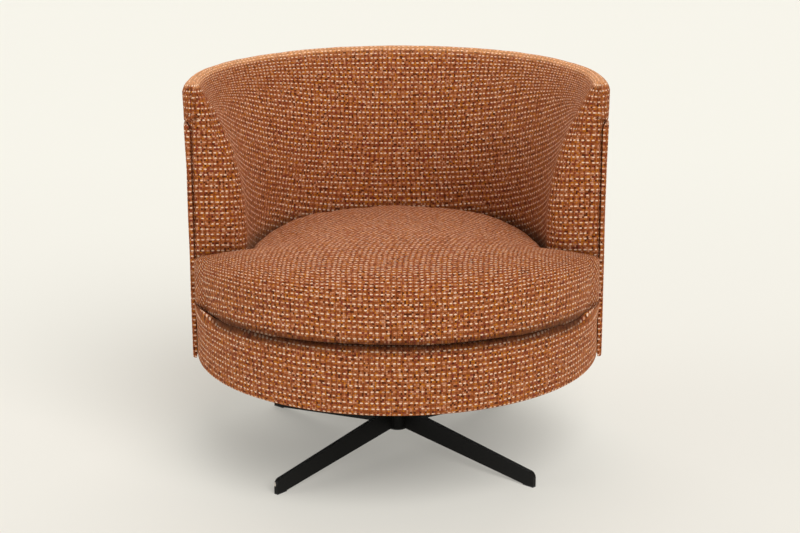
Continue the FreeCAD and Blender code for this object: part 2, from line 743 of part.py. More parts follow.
base_hub = turned("base_hub", ("hub_bore", "hub_bottom"), (
    ("hub_radius - hub_chamfer", "hub_bottom"),
    ("hub_radius", "hub_bottom + hub_chamfer"),
    ("hub_radius", "hub_top - hub_chamfer"),
    ("hub_radius - hub_chamfer", "hub_top"),
    ("hub_bore", "hub_top"),
    ("hub_bore", "hub_bottom"),
))

BUSH_OUTER = "(hub_bore - running_fit)"
BUSH_BORE = "(spindle_radius + running_fit)"
upper_bush = turned("hub_bush_upper", (BUSH_BORE, "hub_top - bush_length"), (
    (BUSH_OUTER, "hub_top - bush_length"),
    (BUSH_OUTER, "hub_top"),
    ("hub_radius - hub_chamfer", "hub_top"),
    ("hub_radius - hub_chamfer", WASHER_BASE),
    (BUSH_BORE, WASHER_BASE),
    (BUSH_BORE, "hub_top - bush_length"),
))
lower_bush = turned("hub_bush_lower", (BUSH_BORE, "lower_bush_base"), (
    (BUSH_OUTER, "lower_bush_base"),
    (BUSH_OUTER, "lower_bush_base + bush_length"),
    (BUSH_BORE, "lower_bush_base + bush_length"),
    (BUSH_BORE, "lower_bush_base"),
))
thrust_washer = turned("thrust_washer", ("spindle_radius + running_gap", WASHER_BASE), (
    ("hub_radius", WASHER_BASE),
    ("hub_radius", f"{WASHER_BASE} + washer_thickness"),
    ("spindle_radius + running_gap", f"{WASHER_BASE} + washer_thickness"),
    ("spindle_radius + running_gap", WASHER_BASE),
))
hub_cap = turned("hub_cap", ("0", "hub_bottom - cap_lip"), (
    ("hub_radius - hub_chamfer", "hub_bottom - cap_lip"),
    ("hub_radius - hub_chamfer", "hub_bottom"),
    (BUSH_OUTER, "hub_bottom"),
    (BUSH_OUTER, "hub_bottom + cap_plug"),
    ("0", "hub_bottom + cap_plug"),
    ("0", "hub_bottom - cap_lip"),
))


def leg_blade(name, number):
    """A flat steel blade on edge, tapering from the hub to its rounded tip."""
    body = new_body(name)
    root = "(hub_radius - leg_inset)"
    heel = "(leg_reach - foot_length)"
    steps = (
        (heel, "glide_thickness"),
        ("leg_reach", "glide_thickness"),
        ("leg_reach", "leg_tip_top - leg_tip_round"),
        ("leg_reach - leg_tip_round", "leg_tip_top", "leg_tip_round", 1),
        (root, "leg_root_top"),
        (root, "leg_root_bottom"),
    )
    profile = outline(body, "XZ_Plane", name + "_profile", (root, "leg_root_bottom"), steps)
    pad(body, profile, "blade_thickness", both_ways=True)
    seat = circles(body, "XY_Plane", name + "_seat", (("0", "0", "hub_radius + weld_gap"),))
    pocket(body, seat)
    return place(body, turn=(Z_AXIS, f"45 + base_turn + 90 * {number}"))


LEG_NAMES = ("leg_rear_right", "leg_rear_left", "leg_front_left", "leg_front_right")
legs = [leg_blade(name, number) for number, name in enumerate(LEG_NAMES)]


def glide_pads():
    pads = []
    for number in range(len(LEG_NAMES)):
        turn = f"(45 + base_turn + 90 * {number})"
        pad_box = primitive("Part::Box", f"glide_{number}",
                            Length="foot_length", Width="blade_thickness", Height="glide_thickness")
        place(pad_box,
              f"(leg_reach - foot_length) * cos({turn}) + blade_thickness / 2 * sin({turn})",
              f"(leg_reach - foot_length) * sin({turn}) - blade_thickness / 2 * cos({turn})",
              "0",
              (Z_AXIS, turn))
        pads.append(pad_box)
    return combine("Part::MultiFuse", "foot_glides", *pads)


foot_glides = glide_pads()

# Swivel: spindle in the hub, its ring, the rocker pan with its buffers and springs.
RING_TOP = "(lower_bush_base - running_gap)"
RING_BASE = f"({RING_TOP} - ring_thickness)"
GROOVE_RADIUS = "(spindle_radius - clip_depth)"
SPINDLE_BASE = f"({RING_BASE} - spindle_end)"
swivel_spindle = turned("swivel_spindle", ("0", SPINDLE_BASE), (
    ("spindle_radius - hub_chamfer", SPINDLE_BASE),
    ("spindle_radius", f"{SPINDLE_BASE} + hub_chamfer"),
    ("spindle_radius", RING_BASE),
    (GROOVE_RADIUS, RING_BASE),
    (GROOVE_RADIUS, RING_TOP),
    ("spindle_radius", RING_TOP),
    ("spindle_radius", FLANGE_BASE),
    ("hub_radius", FLANGE_BASE),
    ("hub_radius", PAN_BASE),
    ("spindle_radius", PAN_BASE),
    ("spindle_radius", PAN_FLOOR),
    ("0", PAN_FLOOR),
    ("0", SPINDLE_BASE),
))


def open_ring(name, inner, outer, thickness):
    """A snap ring: a flat ring with an open mouth."""
    body = new_body(name)
    pad(body, circles(body, "XY_Plane", name + "_disc", (("0", "0", outer),)), thickness)
    pocket(body, circles(body, "XY_Plane", name + "_bore", (("0", "0", inner),)))
    half = f"({inner} * ring_mouth)"
    steps = ((f"2 * {outer}", f"-{half}"), (f"2 * {outer}", half), ("0", half), ("0", f"-{half}"))
    pocket(body, outline(body, "XY_Plane", name + "_mouth", ("0", f"-{half}"), steps))
    return body


retaining_ring = open_ring("retaining_ring", f"({GROOVE_RADIUS} + running_fit)",
                           "ring_radius", "(ring_thickness - running_fit)")
place(retaining_ring, z=RING_BASE)


def rocker_pan_body():
    """Pressed pan: a floor, two ears for the pivot and two end walls that carry the buffers."""
    body = new_body("rocker_pan")
    end = "(pan_length / 2)"
    front_top = f"({stop_height('rock_forward')} - buffer_thickness)"
    rear_top = f"({stop_height('rock_back')} - buffer_thickness)"
    low = f"({PAN_BASE} + pan_wall)"
    steps = (
        (end, PAN_BASE),
        (end, rear_top),
        (f"{end} - pan_corner_depth / 2", rear_top),
        (f"{end} - pan_corner_depth", low),
        ("ear_foot", low),
        ("ear_radius", PIVOT_HEIGHT),
        ("0", f"{PIVOT_HEIGHT} + ear_radius", "ear_radius", 1),
        ("-ear_radius", PIVOT_HEIGHT, "ear_radius", 1),
        ("-ear_foot", low),
        (f"-({end} - pan_corner_depth)", low),
        (f"-({end} - pan_corner_depth / 2)", front_top),
        (f"-{end}", front_top),
        (f"-{end}", PAN_BASE),
    )
    profile = outline(body, "YZ_Plane", "rocker_pan_profile", (f"-{end}", PAN_BASE), steps)
    pad(body, profile, "pan_width", both_ways=True)
    far_x, far_y = size("pan_width / 2"), size(end)

    def upright_corner(points):
        return all(abs(abs(p.x) - far_x) < CLOSE and abs(abs(p.y) - far_y) < CLOSE for p in points)

    round_edges(body, upright_corner, "pan_corner", "rocker_pan_corners")
    half_x = "(pan_width / 2 - plate_steel)"
    half_y = "(pan_length / 2 - plate_steel)"
    inner = new_body("rocker_pan_room")
    steps = ((half_x, f"-{half_y}"), (half_x, half_y), (f"-{half_x}", half_y), (f"-{half_x}", f"-{half_y}"))
    plan = outline(inner, "XY_Plane", "rocker_pan_room_plan", (f"-{half_x}", f"-{half_y}"), steps)
    pad(inner, plan, "reach")
    near_x, near_y = size(half_x), size(half_y)

    def inner_corner(points):
        return all(abs(abs(p.x) - near_x) < CLOSE and abs(abs(p.y) - near_y) < CLOSE for p in points)

    round_edges(inner, inner_corner, "pan_corner - plate_steel", "rocker_pan_room_corners")
    place(inner, z=PAN_FLOOR)
    bores = new_body("rocker_pan_bores")
    bore = circles(bores, "YZ_Plane", "pan_bore", (("0", PIVOT_HEIGHT, "pin_radius + running_fit"),))
    pad(bores, bore, "2 * pan_width", both_ways=True)
    stub = primitive("Part::Cylinder", "spindle_hole", Radius="spindle_radius + running_fit", Height="reach")
    hollow = combine("Part::Cut", "rocker_pan_hollow", body, inner)
    bored = combine("Part::Cut", "rocker_pan_bored", hollow, bores)
    made = combine("Part::Cut", "rocker_base_pan", bored, stub)
    return made


rocker_base_pan = rocker_pan_body()


def buffer_strip(name, side, angle):
    """A rubber channel over one end wall of the pan, as high as the stop needs."""
    body = new_body(name)
    top = stop_height(angle)
    wall_top = f"({top} - buffer_thickness)"
    outer = f"{side} * (pan_length / 2 + buffer_thickness / 2)"
    wall_out = f"{side} * (pan_length / 2 + running_fit)"
    wall_in = f"{side} * (pan_length / 2 - plate_steel - running_fit)"
    inner = f"{side} * (pan_length / 2 - plate_steel - buffer_thickness / 2)"
    lip = f"({wall_top} - buffer_lip)"
    steps = (
        (outer, top),
        (inner, top),
        (inner, lip),
        (wall_in, lip),
        (wall_in, wall_top),
        (wall_out, wall_top),
        (wall_out, lip),
        (outer, lip),
    )
    profile = outline(body, "YZ_Plane", name + "_section", (outer, lip), steps)
    pad(body, profile, "buffer_length", both_ways=True)
    return body


buffers = [
    buffer_strip("buffer_front", -1, "rock_forward"),
    buffer_strip("buffer_rear", 1, "rock_back"),
]


COIL_BASE = f"({PAN_FLOOR} + spring_wire / 2 + layer_gap)"
COIL_RISE = f"({PLATE_BASE} - spring_wire / 2 - layer_gap - {COIL_BASE})"


def coil_point(turns):
    """Point on the spring's centreline after so many turns."""
    angle = 2 * math.pi * turns
    radius = size("spring_radius")
    height = size(f"{COIL_BASE} + {COIL_RISE} / spring_turns * {turns}")
    return Vector(radius * math.cos(angle), radius * math.sin(angle), height)


def coil_heading(turns):
    """Direction of the spring's centreline after so many turns."""
    angle = 2 * math.pi * turns
    radius = size("spring_radius")
    climb = size(f"{COIL_RISE} / spring_turns") / (2 * math.pi)
    return Vector(-radius * math.sin(angle), radius * math.cos(angle), climb).normalize()


def arc_to(start, corner, end):
    """The arc that leaves start towards the corner and arrives at end from it."""
    middle = (start + end) * 0.5
    half = (end - start).Length / 2
    share = half / (half + (corner - start).Length)
    return Part.Arc(start, middle + (corner - middle) * share, end).toShape()


def biarc(start, heading, end, arrival):
    """Two arcs that meet smoothly between two points with given directions."""
    chord = end - start
    bend = 2 * (1 - heading.dot(arrival))
    run = 2 * chord.dot(heading + arrival)
    leg = (math.sqrt(run ** 2 + 4 * bend * chord.Length ** 2) - run) / (2 * bend)
    first, second = start + heading * leg, end - arrival * leg
    joint = (first + second) * 0.5
    return [arc_to(start, first, joint), arc_to(joint, second, end)]


def spring(name, side):
    """A coil spring between the pan and the top plate, its wire swept along biarcs."""
    step = 1 / int(size("spring_arcs"))
    arcs = []
    for number in range(int(size("spring_turns * spring_arcs"))):
        here, there = number * step, (number + 1) * step
        arcs += biarc(coil_point(here), coil_heading(here), coil_point(there), coil_heading(there))
    section = Part.Wire([Part.makeCircle(size("spring_wire / 2"), coil_point(0), coil_heading(0))])
    made = doc.addObject("Part::Feature", name)
    made.Label = name
    made.Shape = Part.Wire(arcs).makePipeShell([section], True, False)
    made.Placement = Placement(Vector(0, side * size("spring_offset"), 0), Rotation())
    return made


def least_coil_gap(per_turn):
    """Least clear distance between a spring's wire and the same wire half a turn or more on."""
    points = [coil_point(n / per_turn) for n in range(int(size("spring_turns") * per_turn) + 1)]
    pairs = [(a, b) for n, a in enumerate(points) for b in points[n + per_turn // 2:]]
    return min((a - b).Length for a, b in pairs) - size("spring_wire")


springs = [spring("rocker_spring_front", -1), spring("rocker_spring_rear", 1)]
print("least gap between spring turns", round(least_coil_gap(per_turn=24), 2))


# Seat side of the rocker: top plate with ears, pivot pin and clip, bolts and rails.
def top_plate_body():
    body = new_body("rocker_top_plate")
    half_x, half_y = "(top_plate_width / 2)", "(top_plate_length / 2)"
    ear_steps = (
        ("ear_foot", PLATE_TOP),
        ("-ear_foot", PLATE_TOP),
        ("-ear_foot", PLATE_BASE),
        ("-ear_radius", PIVOT_HEIGHT),
        ("0", f"{PIVOT_HEIGHT} - ear_radius", "ear_radius", 1),
        ("ear_radius", PIVOT_HEIGHT, "ear_radius", 1),
        ("ear_foot", PLATE_BASE),
    )
    ears = outline(body, "YZ_Plane", "top_plate_ears", ("ear_foot", PLATE_BASE), ear_steps)
    pad(body, ears, f"2 * {EAR_OUTER}", both_ways=True)
    low = f"({PIVOT_HEIGHT} - 2 * ear_radius)"
    between = (
        (EAR_INNER, low), (EAR_INNER, PLATE_BASE), (f"-{EAR_INNER}", PLATE_BASE), (f"-{EAR_INNER}", low))
    pocket(body, outline(body, "XZ_Plane", "top_plate_room", (f"-{EAR_INNER}", low), between))
    sheet_steps = (
        (half_x, PLATE_BASE), (half_x, PLATE_TOP), (f"-{half_x}", PLATE_TOP), (f"-{half_x}", PLATE_BASE))
    flat = outline(body, "XZ_Plane", "top_plate_sheet", (f"-{half_x}", PLATE_BASE), sheet_steps)
    pad(body, flat, "top_plate_length", both_ways=True)
    far_x, far_y = size(half_x), size(half_y)

    def corner(points):
        return all(abs(abs(p.x) - far_x) < CLOSE and abs(abs(p.y) - far_y) < CLOSE for p in points)

    round_edges(body, corner, "pan_corner", "top_plate_corners")
    hole = "(bolt_radius + bolt_clearance)"
    spots = [(f"{sx} * rail_centre", f"{sy} * bolt_spacing / 2", hole) for sx in (-1, 1) for sy in (-1, 1)]
    pocket(body, circles(body, "XY_Plane", "top_plate_bolt_holes", spots))
    bore = circles(body, "YZ_Plane", "top_plate_bore", (("0", PIVOT_HEIGHT, "pin_radius + running_fit"),))
    pocket(body, bore)
    return body


rocker_top_plate = top_plate_body()

PIN_END = f"({EAR_OUTER} + pin_tail)"
pivot_pin = new_body("pivot_pin")
pin_steps = (
    (f"-{EAR_OUTER} - running_gap", "pin_head"),
    (f"-{EAR_OUTER} - running_gap", "pin_radius"),
    (f"{EAR_OUTER} + running_gap", "pin_radius"),
    (f"{EAR_OUTER} + running_gap", "pin_radius - clip_depth"),
    (f"{EAR_OUTER} + running_gap + clip_thickness", "pin_radius - clip_depth"),
    (f"{EAR_OUTER} + running_gap + clip_thickness", "pin_radius"),
    (PIN_END, "pin_radius"),
    (PIN_END, "0"),
    (f"-{EAR_OUTER} - running_gap - head_thickness", "0"),
)
pin_start = (f"-{EAR_OUTER} - running_gap - head_thickness", "0")
pin_steps = ((f"-{EAR_OUTER} - running_gap - head_thickness", "pin_head"),) + pin_steps
revolve(pivot_pin, outline(pivot_pin, "XZ_Plane", "pivot_pin_section", pin_start, pin_steps), "H_Axis")
place(pivot_pin, z=PIVOT_HEIGHT)

pin_clip = open_ring("pin_clip", "(pin_radius - clip_depth + running_fit)", "pin_head",
                     "(clip_thickness - running_fit)")
place(pin_clip, f"{EAR_OUTER} + running_gap + running_fit / 2", "0", PIVOT_HEIGHT, (Y_AXIS, "90"))


def mechanism_rails_group():
    """Two rails across the lower ring, drilled for the plate bolts."""
    rails = []
    length = f"(2 * ({RING_INNER} + rail_lap))"
    for side in (-1, 1):
        rail = primitive("Part::Box", f"rail_{'left' if side < 0 else 'right'}",
                         Length="rail_width", Width=length, Height="rail_height")
        place(rail, f"{side} * rail_centre - rail_width / 2", f"-{length} / 2", LOWER_RING_TOP)
        rails.append(rail)
    pair = combine("Part::MultiFuse", "rail_pair", *rails)
    drills = []
    for x in (-1, 1):
        for y in (-1, 1):
            drill = primitive("Part::Cylinder", f"rail_drill_{x + 1}_{y + 1}",
                              Radius="bolt_radius + bolt_clearance", Height="2 * rail_height")
            place(drill, f"{x} * rail_centre", f"{y} * bolt_spacing / 2", PLATE_BASE)
            drills.append(drill)
    return combine("Part::Cut", "mechanism_rails", pair, combine("Part::MultiFuse", "rail_drills", *drills))


mechanism_rails = mechanism_rails_group()


def plate_bolt_group():
    """Four hexagon bolts up through the plate into the rails."""
    bolts = []
    for x in (-1, 1):
        for y in (-1, 1):
            key = f"{x + 1}_{y + 1}"
            head = primitive("Part::Prism", f"bolt_head_{key}",
                             Circumradius="bolt_head / cos(30)", Height="bolt_head_height")
            head.Polygon = 6
            shank = primitive("Part::Cylinder", f"bolt_shank_{key}",
                              Radius="bolt_radius", Height="bolt_head_height + plate_steel + bolt_end")
            low = f"{PLATE_BASE} - bolt_head_height"
            for item in (head, shank):
                place(item, f"{x} * rail_centre", f"{y} * bolt_spacing / 2", low)
            bolts.append(combine("Part::Fuse", f"bolt_{key}", head, shank))
    return combine("Part::MultiFuse", "plate_bolts", *bolts)


plate_bolts = plate_bolt_group()

# Every sub-part, under the name of its node.
PARTS = {
    "base_hub": base_hub,
    "hub_cap": hub_cap,
    "hub_bush_upper": upper_bush,
    "hub_bush_lower": lower_bush,
    "thrust_washer": thrust_washer,
    "foot_glides": foot_glides,
    "swivel_spindle": swivel_spindle,
    "retaining_ring": retaining_ring,
    "rocker_base_pan": rocker_base_pan,
    "buffer_front": buffers[0],
    "buffer_rear": buffers[1],
    "rocker_spring_front": springs[0],
    "rocker_spring_rear": springs[1],
    "rocker_top_plate": rocker_top_plate,
    "pivot_pin": pivot_pin,
    "pin_clip": pin_clip,
    "plate_bolts": plate_bolts,
    "mechanism_rails": mechanism_rails,
    "lower_ring": lower_ring,
    "deck_ring": deck_ring,
    "frame_posts": frame_posts,
    "front_board": front_board,
    "tub_shell": tub_shell,
    "arm_post_left": arm_posts["left"],
    "arm_post_right": arm_posts["right"],
    "seat_webbing": seat_webbing,
    "wall_foam": wall_foam,
    "inside_cover": inside_cover,
    "outside_panel": outside_panel,
    "front_apron": front_apron,
    "cushion_core": cushion_core,
    "cushion_cover": cushion_cover,
    "dust_cover": dust_cover,
}
PARTS.update(zip(LEG_NAMES, legs))

doc.recompute()
for item in doc.Objects:
    if {"Invalid", "Error"} & set(item.State):
        raise RuntimeError(f"{item.Name} failed to build: {item.State}")
for name, item in PARTS.items():
    if item.Shape.isNull() or not item.Shape.isValid() or not item.Shape.Solids:
        raise RuntimeError(f"{name} has no valid solid")

os.makedirs("parts", exist_ok=True)
for name, item in PARTS.items():
    item.Shape.exportStep(f"parts/{name}.step")
print(len(PARTS), "parts")
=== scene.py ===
"""Looks of a swivel rocker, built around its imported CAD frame. Metres, floor at z 0, front at -Y."""

import json
import math
from collections import namedtuple

import bmesh
import bpy
import numpy as np
from bpy.props import FloatProperty, FloatVectorProperty, IntProperty, PointerProperty
from mathutils import Matrix, Vector, noise
from mathutils.bvhtree import BVHTree


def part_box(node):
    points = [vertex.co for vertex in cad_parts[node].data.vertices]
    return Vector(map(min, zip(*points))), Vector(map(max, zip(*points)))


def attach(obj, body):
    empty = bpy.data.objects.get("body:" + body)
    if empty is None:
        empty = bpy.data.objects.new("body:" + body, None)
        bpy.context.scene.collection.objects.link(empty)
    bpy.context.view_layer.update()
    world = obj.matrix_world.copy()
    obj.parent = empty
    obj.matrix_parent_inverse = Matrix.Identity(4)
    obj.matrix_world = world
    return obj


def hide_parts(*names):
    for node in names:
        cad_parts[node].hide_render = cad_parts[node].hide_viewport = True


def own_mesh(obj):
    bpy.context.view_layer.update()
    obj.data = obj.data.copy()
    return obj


bl_info = {
    "name": "Swivel rocker",
    "version": (1, 0, 0),
    "blender": (4, 5, 0),
    "location": "View3D > Sidebar > Chair",
    "description": "Dresses the frame of a tweed swivel rocker",
    "category": "Object",
}

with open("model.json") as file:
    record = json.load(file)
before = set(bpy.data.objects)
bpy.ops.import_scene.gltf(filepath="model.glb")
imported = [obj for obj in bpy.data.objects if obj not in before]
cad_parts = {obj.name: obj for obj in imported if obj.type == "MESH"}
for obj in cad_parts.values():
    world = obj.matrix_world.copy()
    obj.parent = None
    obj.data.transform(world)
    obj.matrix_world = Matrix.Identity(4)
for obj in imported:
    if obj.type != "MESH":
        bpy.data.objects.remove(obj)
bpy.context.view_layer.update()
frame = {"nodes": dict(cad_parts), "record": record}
NODES = frame["nodes"]

# Heights and radii that the upholstery takes from the frame.
CREST_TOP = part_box("inside_cover")[1].z
CREST_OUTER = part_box("inside_cover")[1].x
ARM_FRONT = -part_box("inside_cover")[0].y
SEAM_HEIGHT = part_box("outside_panel")[1].z
PANEL_TOP_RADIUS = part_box("outside_panel")[1].x
APRON_RADIUS = -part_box("front_apron")[0].y
SHELL_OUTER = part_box("tub_shell")[1].x
SHELL_FRONT = -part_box("tub_shell")[0].y
DRUM_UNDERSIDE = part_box("outside_panel")[0].z
DUST_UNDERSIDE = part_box("dust_cover")[0].z
DUST_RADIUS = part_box("dust_cover")[1].x
HUB_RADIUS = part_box("base_hub")[1].x
CUSHION_FRONT = -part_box("cushion_cover")[0].y
CUSHION_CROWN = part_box("cushion_cover")[1].z
LEGS = [name for name in NODES if name.startswith("leg_")]
PANEL_RADIUS = max(
    Vector(v.co.xy).length for v in NODES["outside_panel"].data.vertices if v.co.z < CUSHION_CROWN)
TUB_RADIUS = min(Vector(v.co.xy).length for v in NODES["inside_cover"].data.vertices)
# The frame's layer of cloth and wadding on the apron, and the play between layers.
APRON_LAYER = 0.0086
LAYER_PLAY = 0.0004
# The cushion's play inside the tub, and its wings' play in front of the arms.
TUB_PLAY = 0.0008
WING_PLAY = 0.0012
# How far back the rows on the cushion turn from its front's curve to straight, and how much they slant.
CUSHION_DEPTH = 0.45
CUSHION_SLANT = 0.28
# Where the pulls in an arm's upper corner start, where they run to, and how deep they are by side.
CORNER = (0.322, -ARM_FRONT + 0.006, 0.664)
CORNER_PULLS = ((0.300, -0.010, 0.640), (0.334, -0.020, 0.702), (0.318, -0.052, 0.610))
CORNER_DEPTHS = ((-1, 0.0064), (1, 0.0036))
CORNER_WIDTH = 0.011
# Soft patches of the stuffing, as (depth, size, seed).
TUB_PATCHES = ((0.0011, 0.07, 3.1), (0.0005, 0.022, 5.7))
PANEL_PATCHES = ((0.0006, 0.09, 8.2),)
APRON_PATCHES = ((0.0007, 0.06, 4.4),)
CUSHION_PATCHES = ((0.0012, 0.10, 1.7), (0.0004, 0.03, 6.1))
# The photograph's camera: its place, how far it looks down, and its roll, in degrees.
CAMERA_PLACE = (0.0058, -3.438, 1.341)
CAMERA_FALL = 15.95
CAMERA_ROLL = -0.19


def linear(code):
    """A colour written as sRGB hex, as the linear values that Blender takes."""
    parts = [int(code[at:at + 2], 16) / 255 for at in (0, 2, 4)]
    return [p / 12.92 if p <= 0.04045 else ((p + 0.055) / 1.055) ** 2.4 for p in parts]


def length(name, description, default):
    """A size in metres, as a user sets it."""
    return FloatProperty(name=name, description=description, default=default, unit="LENGTH", precision=4)


def angle(name, description, degrees):
    """An angle, as a user sets it."""
    return FloatProperty(name=name, description=description, default=math.radians(degrees), subtype="ANGLE")


def colour(name, description, code):
    """A colour, as a user sets it."""
    return FloatVectorProperty(
        name=name, description=description, default=linear(code), subtype="COLOR", min=0, max=1)


class ChairSizes(bpy.types.PropertyGroup):
    """Sizes of the upholstery that the frame's boxes don't give."""

    crest_roll: length("Crest roll", "Radius of the rolled crest", 0.020)
    flare_radius: length("Flare radius", "Radius of the flare inside the tub", 0.480)
    flare_slope: angle("Flare slope", "Slope of the flare at the crest", 33)
    seat_pitch: angle("Seat pitch", "Fall of the deck to the back", 5.3)
    deck_height: length("Deck height", "Deck under the padding, on the swivel axis", 0.290)
    deck_clear: length("Deck clearance", "Webbing between the deck and the padding", 0.003)
    round_depth: length("Arm rounding depth", "How deep the padded arm fronts round off", 0.026)
    round_outer: length("Arm rounding at the seam", "Rounding beside the side seam", 0.007)
    round_crest: length("Arm rounding at the crest", "Width of the rounding at the top of an arm", 0.022)
    round_inner: length("Arm rounding inside", "Width of the rounding towards the seat", 0.038)
    lean_start: length("Lean start", "Height where the outside starts to lean out", 0.560)
    panel_edge: length("Panel edge", "Rounding of the outside panel's edges", 0.0042)
    apron_edge: length("Apron edge", "Rounding of the apron's edges", 0.008)
    apron_fall: length("Apron fall", "How far down the apron's upper edge starts to round off", 0.015)
    fold_lift: length("Fold lift", "How far the apron's cloth rises behind the fold", 0.004)
    fold_lap: length("Fold lap", "How far the apron laps up over the cushion where the fold runs out", 0.011)
    fold_reach: length("Fold shade", "How far the cloth darkens from a fold", 0.024)
    press_reach: length("Pressed shade", "How far the wall's cloth darkens from the cushion", 0.026)
    fold_end: length("Fold end", "Where the fold runs out, from the middle", 0.346)
    pucker: length("Pucker", "Depth of the pulls along the side seams", 0.0016)
    cushion_shift: length("Cushion shift", "Centre of the cushion's front, ahead of the swivel axis", 0.011)
    cushion_cell: length("Cushion mesh", "Mesh size of the cushion's cloth", 0.0075)
    cushion_draw: length("Cushion movement", "Most that the cushion's cloth may move", 0.005)
    front_fill: length("Front fill", "How much fuller the cushion is in front", 0.016)
    wing_fill: length("Wing fill", "How much fuller the cushion is at its wings", 0.028)
    cushion_sink: length("Cushion sink", "How much lower the crown lies against the back", 0.010)


class TweedSizes(bpy.types.PropertyGroup):
    """Weave of the tweed."""

    across: length("Nub spacing", "Nub to nub along a row", 0.0096)
    along: length("Row spacing", "Row to row", 0.0103)
    wander: length("Wander", "How far the rows drift from straight", 0.0024)
    cone: angle("Cone angle", "Half angle of the cone that the inside cover is cut from", 18)
    ease: length("Easing", "Below the crest, where the rows leave its line and bend up to the arms", 0.09)
    ground: colour("Ground", "Rust ground", "9a4f22")
    shade: colour("Gap", "Dark gaps between the threads", "54240c")
    thread: colour("Thread", "Lighter threads between the nubs", "b4683a")
    nub: colour("Nub", "Cream nubs", "fbd8bb")
    blush: colour("Blush", "Peach and pink threads", "d0906c")
    fleck: colour("Fleck", "Ochre and orange threads", "c4721c")
    maroon: colour("Maroon", "Maroon threads", "8a3a2a")
    # Colour of the painted highlight on the crest's upper faces.
    crest_highlight: colour("Crest highlight", "Painted highlight where the crest faces up", "e8b886")


class BaseSizes(bpy.types.PropertyGroup):
    """Small fittings on the base and under the drum."""

    weld_bead: length("Weld bead", "Radius of the bead between blade and hub", 0.0022)
    weld_step: length("Weld ripple", "Spacing of the bead's ripples", 0.0026)
    staple_length: length("Staple", "Crown of a staple", 0.010)
    staple_wire: length("Staple wire", "Thickness of a staple", 0.0009)
    staple_count: IntProperty(name="Staples", description="Staples round the dust cover", default=56)
    spring_keep: FloatProperty(
        name="Spring at full rock", description="Share of its length that a spring keeps", default=0.77)


def chair():
    """The upholstery's sizes, as they stand in the panel."""
    return bpy.context.scene.chair_sizes


# Meshes.
def new_object(name, data):
    """An object in the scene that shows a mesh, a lamp or a camera."""
    obj = bpy.data.objects.new(name, data)
    bpy.context.scene.collection.objects.link(obj)
    return obj


def path_object(name, points, edges):
    """Loose edges, for small parts to be repeated along."""
    mesh = bpy.data.meshes.new(name)
    mesh.from_pydata(points, edges, [])
    return new_object(name, mesh)


def mesh_object(name, points, faces, uvs=None):
    """A mesh from points and faces, with one UV pair in metres for each face corner."""
    mesh = bpy.data.meshes.new(name)
    mesh.from_pydata([tuple(p) for p in points], [], faces)
    if uvs is not None:
        layer = mesh.uv_layers.new(name="Cloth")
        layer.data.foreach_set("uv", np.array(uvs, np.float32).ravel())
    return new_object(name, mesh)


def bake_modifiers(obj):
    """Makes the object's mesh what its modifiers make of it, and takes them off."""
    graph = bpy.context.evaluated_depsgraph_get()
    graph.update()
    made = bpy.data.meshes.new_from_object(
        obj.evaluated_get(graph), preserve_all_data_layers=True, depsgraph=graph)
    obj.modifiers.clear()
    obj.data = made
    return obj


def subdivide(obj, levels=1):
    modifier = obj.modifiers.new("Subdivision", "SUBSURF")
    modifier.levels = modifier.render_levels = levels
    return bake_modifiers(obj)


def face_outwards(obj):
    """Turns every face outwards and shades the mesh smooth."""
    mesh = bmesh.new()
    mesh.from_mesh(obj.data)
    bmesh.ops.recalc_face_normals(mesh, faces=mesh.faces)
    mesh.to_mesh(obj.data)
    mesh.free()
    obj.data.polygons.foreach_set("use_smooth", [True] * len(obj.data.polygons))
    obj.data.update()


def coordinates(obj, kind="co"):
    """Places, or normals, of an object's vertices."""
    found = np.empty(len(obj.data.vertices) * 3, np.float32)
    obj.data.vertices.foreach_get(kind, found)
    return found.reshape(-1, 3).astype(float)


def set_coordinates(obj, points):
    obj.data.vertices.foreach_set("co", points.astype(np.float32).ravel())
    obj.data.update()


def reshape(obj, points):
    """Gives a finished pad its last shape."""
    set_coordinates(obj, points)
    face_outwards(obj)
    return obj


def smooth_step(value, low, high):
    share = np.clip((value - low) / (high - low), 0, 1)
    return share * share * (3 - 2 * share)


def spaced(low, high, count):
    """Even values from low up to, and without, high."""
    return [low + (high - low) * step / count for step in range(count)]


def unevenness(points, scale, seed):
    """Soft bumps in stuffing of about the given size, from -1 to 1."""
    offset = Vector((seed, 2.3 * seed, -seed))
    return np.array([noise.noise(Vector(p) / scale + offset) for p in points])


def slack(points, patches):
    """How deep the stuffing lets the cloth sink in at each point."""
    return sum(depth * (1 + unevenness(points, size, seed)) for depth, size, seed in patches)


def axis_distance(points):
    """Distance of each point from the swivel axis."""
    return np.hypot(points[:, 0], points[:, 1])


def above_deck(points):
    """Height of each point over the pitched seat deck."""
    sizes = chair()
    return points[:, 2] - sizes.deck_height + points[:, 1] * math.tan(sizes.seat_pitch)


def crease(points, start, end, width, depth):
    """How deep a short crease from start to end pulls each point in."""
    run = end - start
    along = np.clip(((points - start) @ run) / (run @ run), 0, 1)
    away = np.linalg.norm(points - (start + along[:, None] * run), axis=1)
    return depth * np.exp(-((away / width) ** 2)) * np.sin(math.pi * (0.15 + 0.7 * along))


# Bands of padding: a section swept round the swivel axis, with a blunt padded end at each side.
# A spot of the section keeps its height, or its share of the way down or up to the pitched deck.
Spot = namedtuple("Spot", "radius height share lift", defaults=(0, 0))
# A station is a straight cut at a place along Y, or a cut at an angle about the axis.
Station = namedtuple("Station", "straight place side behind")
# How wide and how deep a spot of the section rounds off towards a blunt end.
Edge = namedtuple("Edge", "width depth")


def edge_ease(edge, behind):
    """Share of its width that an edge has rounded off, this far behind the blunt end."""
    return 1 - math.sqrt(1 - (1 - min(1, behind / edge.depth)) ** 2)


def spot_height(spot, y):
    sizes = chair()
    deck = sizes.deck_height - y * math.tan(sizes.seat_pitch) + spot.lift
    return spot.height + spot.share * (deck - spot.height)


